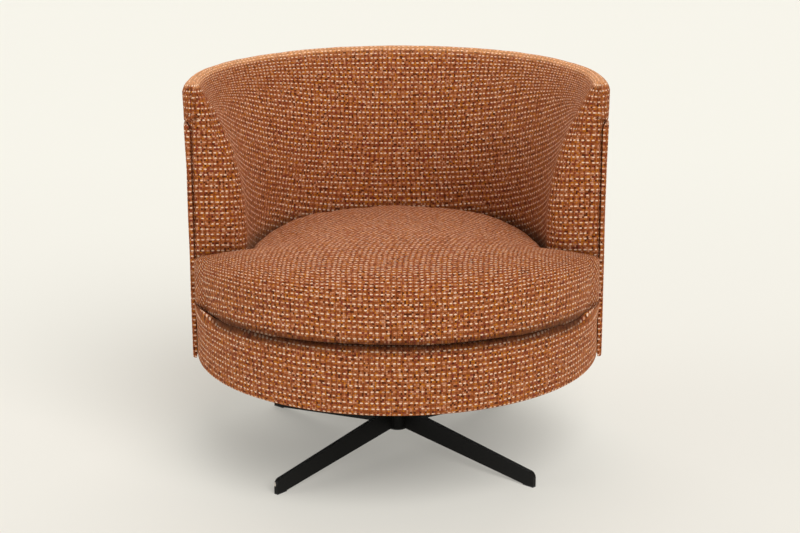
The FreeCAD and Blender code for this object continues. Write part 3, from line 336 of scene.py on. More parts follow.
def station_point(station, radius, height):
    if station.straight:
        return (station.side * math.sqrt(radius ** 2 - station.place ** 2), station.place, height)
    return (radius * math.cos(station.place), radius * math.sin(station.place), height)


def stations_round_back(front, depth, ease, turns):
    """Stations from the right arm front round the back to the left one."""
    right = []
    for step in range(ease + 1):
        behind = depth * (1 - math.cos(math.pi / 2 * step / ease))
        right.append(Station(True, -front + behind, 1, behind))
    right += [Station(True, place, 1, front) for place in spaced(-front + depth, 0, 4)[1:]]
    back = [Station(False, math.pi * step / turns, 1, front) for step in range(turns + 1)]
    left = [station._replace(side=-1) for station in reversed(right)]
    return right + back + left


def stations_round_front(radius, end, turns):
    """Stations from the right end round the front to the left one."""
    edge = math.asin(end / radius)
    span = math.pi - 2 * edge
    return [Station(False, -edge - span * step / turns, 1, end) for step in range(turns + 1)]


def outline_directions(flat):
    """Outward directions along a closed outline of (radius, height)."""
    points = np.array(flat)
    along = np.roll(points, -1, axis=0) - np.roll(points, 1, axis=0)
    across = np.stack([along[:, 1], -along[:, 0]], axis=1)
    return across / np.linalg.norm(across, axis=1)[:, None]


def padded_band(name, outer, crest, inner, edges, stations, side_uv, end_uv, columns):
    """Sweeps a section, given as an outer and an inner side from foot to crest, and closes both ends."""
    loop = outer + [crest] + inner[::-1]
    directions = outline_directions([(spot.radius, spot_height(spot, 0)) for spot in loop])
    points, table = [], []
    for station in stations:
        ids = []
        for spot, (out_r, out_z), edge in zip(loop, directions, edges):
            away = edge.width * edge_ease(edge, station.behind)
            y = station_point(station, spot.radius, 0)[1]
            radius, height = spot.radius - out_r * away, spot_height(spot, y) - out_z * away
            ids.append(len(points))
            points.append(station_point(station, radius, height))
        table.append(ids)
    faces, uvs = [], []
    rounded = max(edge.depth for edge in edges) * 0.99
    for s in range(len(stations) - 1):
        at_end = min(stations[s].behind, stations[s + 1].behind) < rounded
        for i in range(len(loop)):
            after = (i + 1) % len(loop)
            corners = ((s, i), (s, after), (s + 1, after), (s + 1, i))
            faces.append([table[a][b] for a, b in corners])
            found = end_uv if at_end or after == 0 else side_uv
            uvs += [found(points[table[a][b]], b) for a, b in corners]
    for ids in (table[0], table[-1]):
        lines = []
        for near, far in zip(ids[:len(outer)], ids[:len(outer):-1]):
            a, b = Vector(points[near]), Vector(points[far])
            between = list(range(len(points), len(points) + columns - 1))
            points += [tuple(a.lerp(b, column / columns)) for column in range(1, columns)]
            lines.append([near] + between + [far])
        top = ids[len(outer)]
        for below, above in zip(lines, lines[1:]):
            for column in range(columns):
                faces.append([below[column], below[column + 1], above[column + 1], above[column]])
        for column in range(columns):
            faces.append([lines[-1][column], lines[-1][column + 1], top])
    for face in faces[len(uvs) // 4:]:
        uvs += [end_uv(points[vertex]) for vertex in face]
    obj = mesh_object(name, points, faces, uvs)
    face_outwards(obj)
    return obj


def front_uv(crest):
    """Level rows on an arm front, carried on round its edges either side of the crest's spot."""
    def found(point, index=0):
        x, y, z = point
        outward = max(-1, min(1, (crest - index) / 6))
        return (x + math.copysign(0.9, x) * (y + ARM_FRONT) * outward, z)
    return found


def round_uv(radius, facing):
    """Level rows round a drum of this radius, counted from the back (1) or the front (-1)."""
    def found(point, index=0):
        x, y, z = point
        return (radius * math.atan2(x, facing * y), z)
    return found


def turned(centre, level, radius, angles):
    """Spots on an arc about a centre, on its outer side, or its inner side with a radius below 0."""
    return [Spot(centre + radius * math.cos(a), level + abs(radius) * math.sin(a)) for a in angles]


def tub_sides():
    """Outer side, crest and inner side of the padded wall, each side from the deck up."""
    sizes = chair()
    roll, slope, flare = sizes.crest_roll, sizes.flare_slope, sizes.flare_radius
    centre, level = CREST_OUTER - roll, CREST_TOP - roll
    flare_centre = centre + (flare - roll) * math.cos(slope)
    flare_level = level - (flare - roll) * math.sin(slope)
    side, step = SHELL_OUTER + 0.0002, SEAM_HEIGHT + 0.004
    lift = sizes.deck_clear
    outer = [Spot(side, step - 0.010, 1 - t, lift) for t in spaced(0, 1, 28)]
    # Above the outside panel the cover steps out to the panel's face, and leans on up to the crest.
    outer += [Spot(side, step - 0.010), Spot(side + 0.003, step - 0.003)]
    outer += [Spot(PANEL_TOP_RADIUS - 0.001, step - 0.001)]
    lean = CREST_OUTER - PANEL_TOP_RADIUS
    outer += [Spot(PANEL_TOP_RADIUS + lean * t, step + (level - step) * t) for t in spaced(0, 1, 5)]
    outer += turned(centre, level, roll, spaced(0, math.pi / 2, 9))
    inner = [Spot(flare_centre - flare, flare_level, 1 - t, lift) for t in spaced(0, 1, 12)]
    inner += turned(flare_centre, flare_level, -flare, spaced(0, slope, 23))
    inner += turned(centre, level, -roll, spaced(slope, math.pi / 2, 10))
    return outer, Spot(centre, CREST_TOP), inner


def tub_upholstery():
    """The padded inside back and arms, from the side seams over the crest and down to the deck."""
    sizes, tweed = chair(), bpy.context.scene.tweed_sizes
    outer, crest, inner = tub_sides()
    loop = outer + [crest] + inner[::-1]
    flat = [(spot.radius, spot_height(spot, 0)) for spot in loop]
    path = np.cumsum([0] + [math.dist(a, b) for a, b in zip(flat, flat[1:])])
    edges = []
    for index, spot in enumerate(loop):
        if index <= len(outer) and spot.radius <= SHELL_OUTER + 0.001:
            edges.append(Edge(sizes.round_outer, sizes.round_outer))
        else:
            inside = min(1, (CREST_TOP - spot.height) / 0.12) if index > len(outer) else 0
            width = sizes.round_crest + (sizes.round_inner - sizes.round_crest) * inside
            edges.append(Edge(width, sizes.round_depth))
    apex = min(spot.radius for spot in inner) / math.sin(tweed.cone)
    straight = [index for index, spot in enumerate(loop) if spot.share > 0 and index > len(outer)][0]

    def cone_uv(point, index):
        turn = math.atan2(point[0], point[1]) * math.sin(tweed.cone)
        reach = apex + path[straight] - path[index]
        eased = smooth_step(path[index] - path[len(outer)], 0, tweed.ease)
        return (reach * math.sin(turn), reach * (1 - eased * (1 - math.cos(turn))))

    stations = stations_round_back(ARM_FRONT, sizes.round_depth, 7, 76)
    on_front = front_uv(len(outer))
    obj = padded_band("inside_upholstery", outer, crest, inner, edges, stations, cone_uv, on_front, 14)
    subdivide(obj)
    points, out = coordinates(obj), coordinates(obj, "normal")
    radius = axis_distance(points)
    front = smooth_step(-points[:, 1], ARM_FRONT - 0.03, ARM_FRONT - 0.01)
    seam = front * np.exp(-(((SHELL_OUTER - radius) / 0.016) ** 2)) * (points[:, 2] < SEAM_HEIGHT)
    pull = sizes.pucker * seam * (0.5 + 0.5 * np.sin(2 * math.pi * points[:, 2] / 0.024))
    pull += slack(points, TUB_PATCHES) * smooth_step(points[:, 2], sizes.deck_height, CREST_TOP - 0.2)
    under_panel = (radius > SHELL_OUTER - 0.002) & (points[:, 2] < SEAM_HEIGHT)
    pull[under_panel & (points[:, 1] > -ARM_FRONT + 0.009)] = 0
    for side, depth in CORNER_DEPTHS:
        for end in CORNER_PULLS:
            mirror = np.array([side, 1, 1])
            pull += crease(points, mirror * CORNER, mirror * end, CORNER_WIDTH, depth)
    return reshape(obj, points - out * pull[:, None])


def rounded_sides(inside, outside, foot, top, edge, fall, rows, share=0):
    """Outer side, crest and inner side of a thin padded panel with rounded outer edges."""
    turns = spaced(0, math.pi / 2, 4)
    low = [Spot(outside - edge + edge * math.sin(a), foot + edge - edge * math.cos(a)) for a in turns]
    middle = [
        Spot(outside, foot + edge + (top - foot - 2 * edge) * t, share * t, -fall * t * share)
        for t in spaced(0, 1, rows)]
    high = [Spot(outside - edge + edge * math.cos(a), top, share, fall * (math.sin(a) - 1)) for a in turns]
    if not share:
        high = [Spot(spot.radius, top + spot.lift) for spot in high]
    outer = low + middle + high
    inner = [Spot(inside, foot + (top - foot) * t, share * t) for t in spaced(0, 1, len(outer))]
    return outer, Spot((inside + outside - edge) / 2, top, share), inner


def outside_upholstery():
    """The plain outside of arms and back: one cloth over wadding on the bent shell."""
    sizes = chair()
    edge = sizes.panel_edge
    outer, crest, inner = rounded_sides(
        SHELL_OUTER + LAYER_PLAY, PANEL_RADIUS, DRUM_UNDERSIDE, SEAM_HEIGHT, edge, edge, 40)
    lean = (PANEL_TOP_RADIUS - PANEL_RADIUS) / (SEAM_HEIGHT - sizes.lean_start)
    outer = [s._replace(radius=s.radius + lean * max(0, s.height - sizes.lean_start)) for s in outer]
    edges = [Edge(edge, edge)] * (len(outer) + 1) + [Edge(0, edge)] * len(inner)
    stations = stations_round_back(ARM_FRONT, edge, 4, 96)
    around, on_front = round_uv(PANEL_RADIUS, 1), front_uv(len(outer))
    obj = padded_band("outside_upholstery", outer, crest, inner, edges, stations, around, on_front, 2)
    subdivide(obj)
    points = coordinates(obj)
    radius = axis_distance(points)
    soft = smooth_step(radius, PANEL_RADIUS - 0.002, PANEL_RADIUS) * slack(points, PANEL_PATCHES)
    points[:, :2] *= (1 - soft / radius)[:, None]
    return reshape(obj, points)


def apron_upholstery():
    """The padded apron under the cushion, turned over the front board and under the drum."""
    sizes = chair()
    outer, crest, inner = rounded_sides(
        APRON_RADIUS - APRON_LAYER, APRON_RADIUS, DRUM_UNDERSIDE, sizes.deck_height,
        sizes.apron_edge, sizes.apron_fall, 12, 1)
    crest = crest._replace(lift=sizes.fold_lift)
    stations = stations_round_front(APRON_RADIUS, SHELL_FRONT + 0.001, 84)
    around = round_uv(APRON_RADIUS, -1)
    edges = [Edge(0, 0.001)] * (2 * len(outer) + 1)
    obj = padded_band("apron_upholstery", outer, crest, inner, edges, stations, around, around, 2)
    subdivide(obj)
    points = coordinates(obj)
    radius = axis_distance(points)
    soft = smooth_step(radius, APRON_RADIUS - 0.002, APRON_RADIUS) * slack(points, APRON_PATCHES)
    # Beside the side seams apron and cushion are pulled together, and the fold runs out.
    above = above_deck(points)
    closed = fold_closed(points)
    shift = sizes.cushion_shift
    facing = points[:, 1] / radius * shift
    cushion = np.sqrt(facing ** 2 - shift ** 2 + (CUSHION_FRONT - shift) ** 2) - facing
    drawn = closed * smooth_step(above, -0.030, -0.003) * (radius > APRON_RADIUS - 1.2 * sizes.apron_edge)
    points[:, :2] *= (1 + (drawn * (cushion + LAYER_PLAY - radius) - soft) / radius)[:, None]
    points[:, 2] += sizes.fold_lap * closed * smooth_step(above, -0.012, -0.002)
    behind = (radius < APRON_RADIUS - 0.6 * sizes.apron_edge) & (above > -0.004)
    points[behind, 2] += sizes.fold_lift * smooth_step(np.abs(points[behind, 0]), 0.12, 0.30)
    return reshape(obj, points)


def fold_closed(points):
    """From 0 along the fold under the cushion to 1 near its ends."""
    sizes = chair()
    return smooth_step(np.abs(points[:, 0]), sizes.fold_end - 0.020, sizes.fold_end)


# The cushion is the frame's own, let swell as cloth under a little pressure.
def outer_skin(node, name):
    """The outside of a hollow CAD node, as a mesh of its own."""
    mesh = bmesh.new()
    mesh.from_mesh(NODES[node].data)
    bmesh.ops.remove_doubles(mesh, verts=mesh.verts, dist=1e-5)
    left, skins = set(mesh.verts), []
    while left:
        skin, edge = set(), [next(iter(left))]
        while edge:
            vert = edge.pop()
            if vert not in skin:
                skin.add(vert)
                edge += [e.other_vert(vert) for e in vert.link_edges]
        skins.append(skin)
        left -= skin
    skins.sort(key=lambda skin: max(v.co.z for v in skin))
    bmesh.ops.delete(mesh, geom=[v for skin in skins[:-1] for v in skin], context="VERTS")
    made = bpy.data.meshes.new(name)
    mesh.to_mesh(made)
    mesh.free()
    return new_object(name, made)


def even_out(obj, cell):
    """An even mesh of small squares in place of the CAD's long triangles."""
    modifier = obj.modifiers.new("Remesh", "REMESH")
    modifier.mode = "VOXEL"
    modifier.voxel_size = cell
    return bake_modifiers(obj)


def swell(obj, frames=20):
    """How far cloth under a little inner pressure moves each vertex."""
    held = obj.vertex_groups.new(name="Held")
    rest = coordinates(obj)
    sizes = chair()
    foot = sizes.deck_height + 0.010 - rest[:, 1] * math.tan(sizes.seat_pitch)
    held.add(np.flatnonzero(rest[:, 2] < foot).tolist(), 1.0, "REPLACE")
    modifier = obj.modifiers.new("Cloth", "CLOTH")
    cloth = modifier.settings
    cloth.quality = 4
    cloth.mass = 0.4
    cloth.tension_stiffness = cloth.compression_stiffness = 20
    cloth.bending_stiffness = 1.5
    cloth.use_pressure = True
    cloth.uniform_pressure_force = 4
    cloth.vertex_group_mass = held.name
    cloth.effector_weights.gravity = 0
    modifier.point_cache.frame_end = frames
    scene = bpy.context.scene
    for number in range(1, frames + 1):
        scene.frame_set(number)
    moved = coordinates(bake_modifiers(obj)) - rest
    scene.frame_set(1)
    set_coordinates(obj, rest)
    obj.vertex_groups.clear()
    far = np.linalg.norm(moved, axis=1)
    return moved * (np.minimum(far, sizes.cushion_draw) / np.maximum(far, 1e-9))[:, None]


def cushion_uv(points):
    """Rows level round the front, and bending from the front's curve to straight across the seat."""
    sizes = chair()
    radius = CUSHION_FRONT - sizes.cushion_shift
    x = np.clip(points[:, 0], -0.995 * radius, 0.995 * radius)
    edge = -sizes.cushion_shift - np.sqrt(radius ** 2 - x ** 2)
    back = points[:, 1] - edge
    share = smooth_step(back, 0, CUSHION_DEPTH)
    arc = radius * np.arcsin(x / radius)
    slant = CUSHION_SLANT * smooth_step(back, 0.03, CUSHION_DEPTH) * back
    across = points[:, 0] + (arc - x) * (1 - share) - slant
    along = points[:, 2] + back + (edge + CUSHION_FRONT) * share
    return np.stack([across, along], axis=1)


def sink_back(points):
    """Lowers the cushion's crown where it lies against the back."""
    back = smooth_step(points[:, 1], -0.05, 0.24)
    back *= smooth_step(points[:, 2], CUSHION_CROWN - 0.09, CUSHION_CROWN - 0.03)
    sink = chair().cushion_sink
    points[:, 2] -= sink * back * (1 - smooth_step(np.abs(points[:, 0]), 0.06, 0.22))


def fill_crown(points, above):
    """Makes the crown fuller in front and at the wings than the frame's plain arch."""
    sizes = chair()
    front_rise = sizes.front_fill * (1 - smooth_step(points[:, 1], -0.25, 0.05))
    wing_rise = sizes.wing_fill * np.clip((np.abs(points[:, 0]) - 0.10) / 0.27, 0, 1.1) ** 2
    wing_rise *= 1 - smooth_step(points[:, 1], -0.06, 0.06)
    points[:, 2] += (front_rise + wing_rise) * np.clip(above / 0.080, 0, 1)


def fill_front(points, above):
    """Draws the lower edge in over the fold, and fills the wings out to the side seams."""
    shift = chair().cushion_shift
    points[:, 2] -= np.clip(above, 0, 0.0030) * (1 - smooth_step(above, 0.006, 0.020))
    full = CUSHION_FRONT - shift
    out = points[:, :2] - (0, -shift)
    reach = np.linalg.norm(out, axis=1)
    front = points[:, 1] < -ARM_FRONT + 0.004
    fill = smooth_step(points[:, 1], -0.130, -0.085) * front * smooth_step(reach, full - 0.040, full - 0.020)
    fill *= 1 - smooth_step(above, 0.070, 0.092)
    under = front * (1 - fold_closed(points)) * (1 - np.sqrt(1 - np.clip(1 - above / 0.009, 0, 1) ** 2))
    moved = fill * (full - 0.0006 - reach) - 0.004 * under * (reach > full - 0.03)
    points[:, :2] += out * (moved / np.maximum(reach, 1e-9))[:, None]


def keep_clear(points):
    """Keeps the cushion inside the tub, and its wings in front of the arms."""
    room = np.where(points[:, 1] > -ARM_FRONT, TUB_RADIUS - TUB_PLAY, CUSHION_FRONT)
    points[:, :2] *= np.minimum(1, room / axis_distance(points))[:, None]
    front = -ARM_FRONT - WING_PLAY
    points[(np.abs(points[:, 0]) > TUB_RADIUS) & (points[:, 1] > front), 1] = front


def cushion_upholstery():
    """The crowned seat cushion, full width in front of the arms and round behind."""
    sizes = chair()
    obj = outer_skin("cushion_cover", "seat_cushion")
    even_out(obj, sizes.cushion_cell)
    set_coordinates(obj, coordinates(obj) + swell(obj))
    subdivide(obj)
    points = coordinates(obj)
    points -= coordinates(obj, "normal") * slack(points, CUSHION_PATCHES)[:, None]
    sink_back(points)
    above = above_deck(points)
    fill_crown(points, above)
    fill_front(points, above)
    keep_clear(points)
    reshape(obj, points)
    corners = np.empty(len(obj.data.loops), np.int32)
    obj.data.loops.foreach_get("vertex_index", corners)
    layer = obj.data.uv_layers.new(name="Cloth")
    layer.data.foreach_set("uv", cushion_uv(points)[corners].astype(np.float32).ravel())
    return obj


# Painted shade darkens the cloth where pads press together, and a painted highlight pales the crest where its
# cloth faces up.
def distances(obj, others, reach):
    """Distance from each vertex to the nearest of the other pieces, up to reach."""
    graph = bpy.context.evaluated_depsgraph_get()
    found = np.full(len(obj.data.vertices), reach)
    for other in others:
        tree = BVHTree.FromObject(other, graph)
        for vertex in obj.data.vertices:
            near = tree.find_nearest(vertex.co, found[vertex.index])
            if near[0] is not None:
                found[vertex.index] = near[3]
    return found


def store_painted_light(obj, tone):
    """Stores the painted light at each vertex: painted highlight up to 1, painted shade down to -1."""
    layer = obj.data.attributes.get("PaintedLight") or obj.data.attributes.new("PaintedLight", "FLOAT", "POINT")
    layer.data.foreach_set("value", tone.astype(np.float32))


def shade_folds_light_crest(pieces):
    """Paints shade on each piece where it lies against another, and a painted highlight along the inside's
    crest.
    """
    sizes = chair()
    inside, apron, cushion = pieces
    for obj, others in ((inside, [cushion]), (apron, [cushion]), (cushion, [inside, apron])):
        reach = sizes.press_reach if obj == inside else sizes.fold_reach
        # Painted shade, darkest where the cloth touches the other pieces.
        tone = -(1 - distances(obj, others, reach) / reach)
        if obj == inside:
            points, out = coordinates(obj), coordinates(obj, "normal")
            # A painted highlight along the crest, where its cloth faces up.
            crest_highlight = smooth_step(points[:, 2], CREST_TOP - 0.035, CREST_TOP - 0.002)
            tone = tone + crest_highlight * smooth_step(out[:, 2], 0.3, 0.95)
        else:
            # The painted shade fades where the fold runs out.
            tone = tone * (1 - 0.9 * fold_closed(coordinates(obj)))
        store_painted_light(obj, tone)


# Materials.
def add_node(tree, kind, inputs=None, **settings):
    """Adds a node, makes its settings, and fills its inputs with values or links."""
    node = tree.nodes.new(kind)
    for key, value in settings.items():
        setattr(node, key, value)
    for key, value in (inputs or {}).items():
        if isinstance(value, bpy.types.NodeSocket):
            tree.links.new(value, node.inputs[key])
        else:
            node.inputs[key].default_value = value
    return node


def new_material(name):
    """An empty material and its shader."""
    material = bpy.data.materials.new(name)
    material.use_nodes = True
    return material, material.node_tree, material.node_tree.nodes["Principled BSDF"]


def rgba(colour_value):
    return (*colour_value, 1.0)


def mixed(tree, share, a, b):
    """A mix of two colours, as an output."""
    return add_node(tree, "ShaderNodeMix", {0: share, 6: a, 7: b}, data_type="RGBA").outputs[2]


def fine_noise(tree, place, scale, detail=3):
    """Noise of so many patches to a metre."""
    return add_node(tree, "ShaderNodeTexNoise", {"Vector": place, "Scale": scale, "Detail": detail})


def woven_tweed():
    """Woven tweed: rows of cream nubs on a rust ground, which read as dashes with dark gaps between."""
    sizes = bpy.context.scene.tweed_sizes
    material, tree, shader = new_material("woven_nub_tweed")

    def maths(operation, a, b=0.0, c=0.0):
        return add_node(tree, "ShaderNodeMath", {0: a, 1: b, 2: c}, operation=operation).outputs[0]

    def vectors(operation, a, b=(0, 0, 0), c=(0, 0, 0)):
        return add_node(tree, "ShaderNodeVectorMath", {0: a, 1: b, 2: c}, operation=operation).outputs[0]

    def ramp(value, low, high):
        ends = {0: value, 1: low, 2: high}
        return add_node(tree, "ShaderNodeMapRange", ends, interpolation_type="SMOOTHSTEP").outputs[0]

    def by_cell(place):
        cell = {"Vector": vectors("FLOOR", place)}
        return add_node(tree, "ShaderNodeTexWhiteNoise", cell, noise_dimensions="2D").outputs

    def mix(share, a, b):
        return mixed(tree, share, a, b)

    def off_middle(value):
        return maths("ABSOLUTE", maths("ADD", value, -0.5))

    cloth = add_node(tree, "ShaderNodeUVMap", uv_map="Cloth").outputs[0]
    # Rows and columns drift over a hand's width, as handled cloth does.
    drift = vectors("SUBTRACT", fine_noise(tree, cloth, 16).outputs["Color"], (0.5, 0.5, 0.5))
    drift = vectors("MULTIPLY_ADD", drift, (2 * sizes.wander, 2 * sizes.wander, 0), cloth)
    grid = vectors("MULTIPLY", drift, (1 / sizes.across, 1 / sizes.along, 0))
    place = add_node(tree, "ShaderNodeSeparateXYZ", {0: vectors("FRACTION", grid)})
    # Each cell draws three lots: where its nub lies, how full it is, and its colour and gap.
    lots = add_node(tree, "ShaderNodeSeparateColor", {0: by_cell(grid)["Color"]})
    shift = maths("MULTIPLY_ADD", lots.outputs[0], 0.24, -0.62)
    x = maths("ADD", place.outputs[0], shift)
    y = maths("ADD", place.outputs[1], -0.5)
    # A nub is a raised slub about 6 mm long and 3 mm high.
    across = maths("DIVIDE", x, 0.31)
    up = maths("DIVIDE", y, 0.15)
    away = maths("ADD", maths("MULTIPLY", across, across), maths("MULTIPLY", up, up))
    nub = maths("MULTIPLY", ramp(away, 1.25, 0.55), ramp(lots.outputs[1], -0.05, 0.16))
    # Fine threads between the nubs, three to a cell, each in a colour of its own.
    fine = vectors("MULTIPLY", grid, (3, 3, 0))
    fine_place = add_node(tree, "ShaderNodeSeparateXYZ", {0: vectors("FRACTION", fine)})
    yarn = by_cell(fine)["Value"]
    shades = (sizes.shade, sizes.ground, sizes.thread, sizes.fleck, sizes.maroon, sizes.blush)
    melange = add_node(tree, "ShaderNodeValToRGB", {0: yarn})
    melange.color_ramp.interpolation = "CONSTANT"
    for place_on, shade in zip((0.09, 0.42, 0.71, 0.82, 0.91), shades[1:]):
        melange.color_ramp.elements.new(place_on).color = rgba(shade)
    melange.color_ramp.elements[0].color = rgba(sizes.shade)
    melange.color_ramp.elements.remove(melange.color_ramp.elements[-1])
    fuzz = fine_noise(tree, cloth, 420)
    fuzz.inputs["Roughness"].default_value = 0.65
    fibres = fuzz.outputs[0]
    round_thread = ramp(off_middle(fine_place.outputs[0]), 0.52, 0.25)
    # Broken dark gaps run between the rows, and down between the columns of nubs.
    gap = ramp(off_middle(place.outputs[0]), 0.36, 0.47)
    gap = maths("MULTIPLY", gap, ramp(lots.outputs[2], 0.0, 0.8))
    row_gap = ramp(maths("ABSOLUTE", y), 0.33, 0.47)
    shade = rgba(sizes.shade)
    lit = maths("MULTIPLY", ramp(fibres, 0.30, 0.62), round_thread)
    ground = mix(0.62, mix(lit, shade, melange.outputs[0]), melange.outputs[0])
    ground = mix(maths("MULTIPLY", gap, 0.55), ground, shade)
    ground = mix(maths("MULTIPLY", row_gap, 0.40), ground, shade)
    nub_colour = mix(ramp(lots.outputs[2], 0.68, 0.95), rgba(sizes.nub), rgba(sizes.blush))
    nub_colour = mix(maths("MULTIPLY", ramp(fibres, 0.62, 0.36), 0.30), nub_colour, rgba(sizes.thread))
    cover = mix(nub, ground, nub_colour)
    # The painted light of a point darkens the cloth with painted shade in folds, and pales and brightens it
    # with a painted highlight along the crest.
    tone = add_node(tree, "ShaderNodeAttribute", attribute_name="PaintedLight").outputs["Fac"]
    # Painted shade in folds, towards a much darker gap colour.
    fold_shade_colour = rgba([0.3 * part for part in sizes.shade])
    cover = mix(maths("MULTIPLY", ramp(tone, 0, -0.85), 0.85), cover, fold_shade_colour)
    # The painted highlight pales the crest's cloth and brightens it.
    crest_highlight = ramp(tone, 0, 1)
    cover = mix(maths("MULTIPLY", crest_highlight, 0.30), cover, rgba(sizes.crest_highlight))
    paler = maths("MULTIPLY_ADD", crest_highlight, 0.35, 1.0)
    cover = add_node(tree, "ShaderNodeVectorMath", {0: cover, "Scale": paler}, operation="SCALE").outputs[0]
    relief = maths("MULTIPLY_ADD", fibres, 0.30, maths("MULTIPLY_ADD", round_thread, 0.22, nub))
    bump = add_node(tree, "ShaderNodeBump", {"Strength": 0.80, "Distance": 0.0016, "Height": relief})
    tree.links.new(cover, shader.inputs["Base Color"])
    tree.links.new(bump.outputs[0], shader.inputs["Normal"])
    shader.inputs["Roughness"].default_value = 0.88
    shader.inputs["Specular IOR Level"].default_value = 0.10
    shader.inputs["Sheen Weight"].default_value = 0.38
    shader.inputs["Sheen Roughness"].default_value = 0.5
    shader.inputs["Sheen Tint"].default_value = rgba(sizes.blush)
    return material


def speckled(name, base, other, grain, roughness, metallic=0.0, relief=0.0, stretch=(1, 1, 1)):
    """A material of two near colours in patches of a real size, with a fine relief of the same size."""
    material, tree, shader = new_material(name)
    place = add_node(tree, "ShaderNodeTexCoord").outputs["Object"]
    place = add_node(tree, "ShaderNodeMapping", {"Vector": place, "Scale": stretch}).outputs[0]
    patches = fine_noise(tree, place, 1 / grain, 4).outputs[0]
    share = add_node(tree, "ShaderNodeMapRange", {0: patches, 1: 0.4, 2: 0.7}).outputs[0]
    blend = mixed(tree, share, rgba(linear(base)), rgba(linear(other)))
    tree.links.new(blend, shader.inputs["Base Color"])
    rough = add_node(tree, "ShaderNodeMapRange", {0: patches, 3: roughness - 0.05, 4: roughness + 0.07})
    tree.links.new(rough.outputs[0], shader.inputs["Roughness"])
    shader.inputs["Metallic"].default_value = metallic
    if relief:
        bump = add_node(tree, "ShaderNodeBump", {"Strength": 0.5, "Distance": relief, "Height": patches})
        tree.links.new(bump.outputs[0], shader.inputs["Normal"])
    return material


def powder_coated_steel():
    """Satin black powder coat: near black, with a fine orange peel and one chipped tip."""
    material = speckled("satin_black_powder_coat", "0e0e0d", "151412", 0.004, 0.46, relief=0.00012)
    tree = material.node_tree
    shader = tree.nodes["Principled BSDF"]
    shader.inputs["Specular IOR Level"].default_value = 0.15
    place = add_node(tree, "ShaderNodeTexCoord").outputs["Object"]
    tip = max((v.co for v in NODES["leg_front_left"].data.vertices), key=lambda co: Vector(co.xy).length)
    ends = {0: place, 1: (tip.x, tip.y, 0.019)}
    chip = add_node(tree, "ShaderNodeVectorMath", ends, operation="DISTANCE").outputs["Value"]
    ragged = {0: fine_noise(tree, place, 400).outputs[0], 1: 0.006, 2: chip}
    edge = add_node(tree, "ShaderNodeMath", ragged, operation="MULTIPLY_ADD").outputs[0]
    bare = add_node(tree, "ShaderNodeMapRange", {0: edge, 1: 0.0075, 2: 0.0068}).outputs[0]
    coat = shader.inputs["Base Color"].links[0].from_socket
    tree.links.new(mixed(tree, bare, coat, rgba(linear("b9b2a6"))), shader.inputs["Base Color"])
    return material


def slot_materials():
    """One material for each slot of the record, each with its real size of grain."""
    return {
        "tweed": woven_tweed(),
        # Cut polyurethane foam: pale yellow, matt, with open cells under a millimetre across.
        "foam": speckled("cut_polyurethane_foam", "ddcf9f", "cbb984", 0.002, 0.95, relief=0.0006),
        # Elastic webbing: dark, with ribs along the strap about 3 mm apart.
        "webbing": speckled("woven_elastic_webbing", "2a2725", "4a4541", 0.003, 0.85, relief=0.0005),
        # Spun-bonded lining: matt black with a pressed grain.
        "dust_cloth": speckled("spun_bonded_lining", "121212", "1f1e1d", 0.0025, 0.92, relief=0.0003),
        # Birch plywood: pale, with figure drawn out along the sheet.
        "plywood": speckled(
            "bent_birch_plywood", "c9a676", "b58d5c", 0.010, 0.62, relief=0.0002, stretch=(1, 1, 0.12)),
        # Planed beech: warm, with short dark rays.
        "hardwood": speckled(
            "planed_beech", "bb8a5a", "a06f43", 0.006, 0.58, relief=0.0002, stretch=(0.15, 1, 1)),
        "black_steel": powder_coated_steel(),
        # Zinc plate: bright grey with a faint bloom.
        "bright_steel": speckled("zinc_plated_steel", "b9bcc0", "9a9da2", 0.003, 0.34, metallic=1.0),
        # Oil-tempered spring wire: dark grey, half bright, streaked along the wire.
        "spring_steel": speckled("oil_tempered_wire", "55534f", "3a3835", 0.002, 0.40, metallic=1.0),
        # Moulded rubber: black, dull, lightly dusty.
        "rubber": speckled("moulded_rubber", "161615", "2a2927", 0.004, 0.80, relief=0.0001),
        # Moulded nylon: milky white, smooth.
        "nylon": speckled("moulded_nylon", "dcd8cc", "cfcabc", 0.005, 0.38),
        # Moulded polypropylene: black with a spark-eroded grain.
        "black_plastic": speckled(
            "moulded_black_polypropylene", "18181a", "222224", 0.0012, 0.52, relief=0.0001),
    }


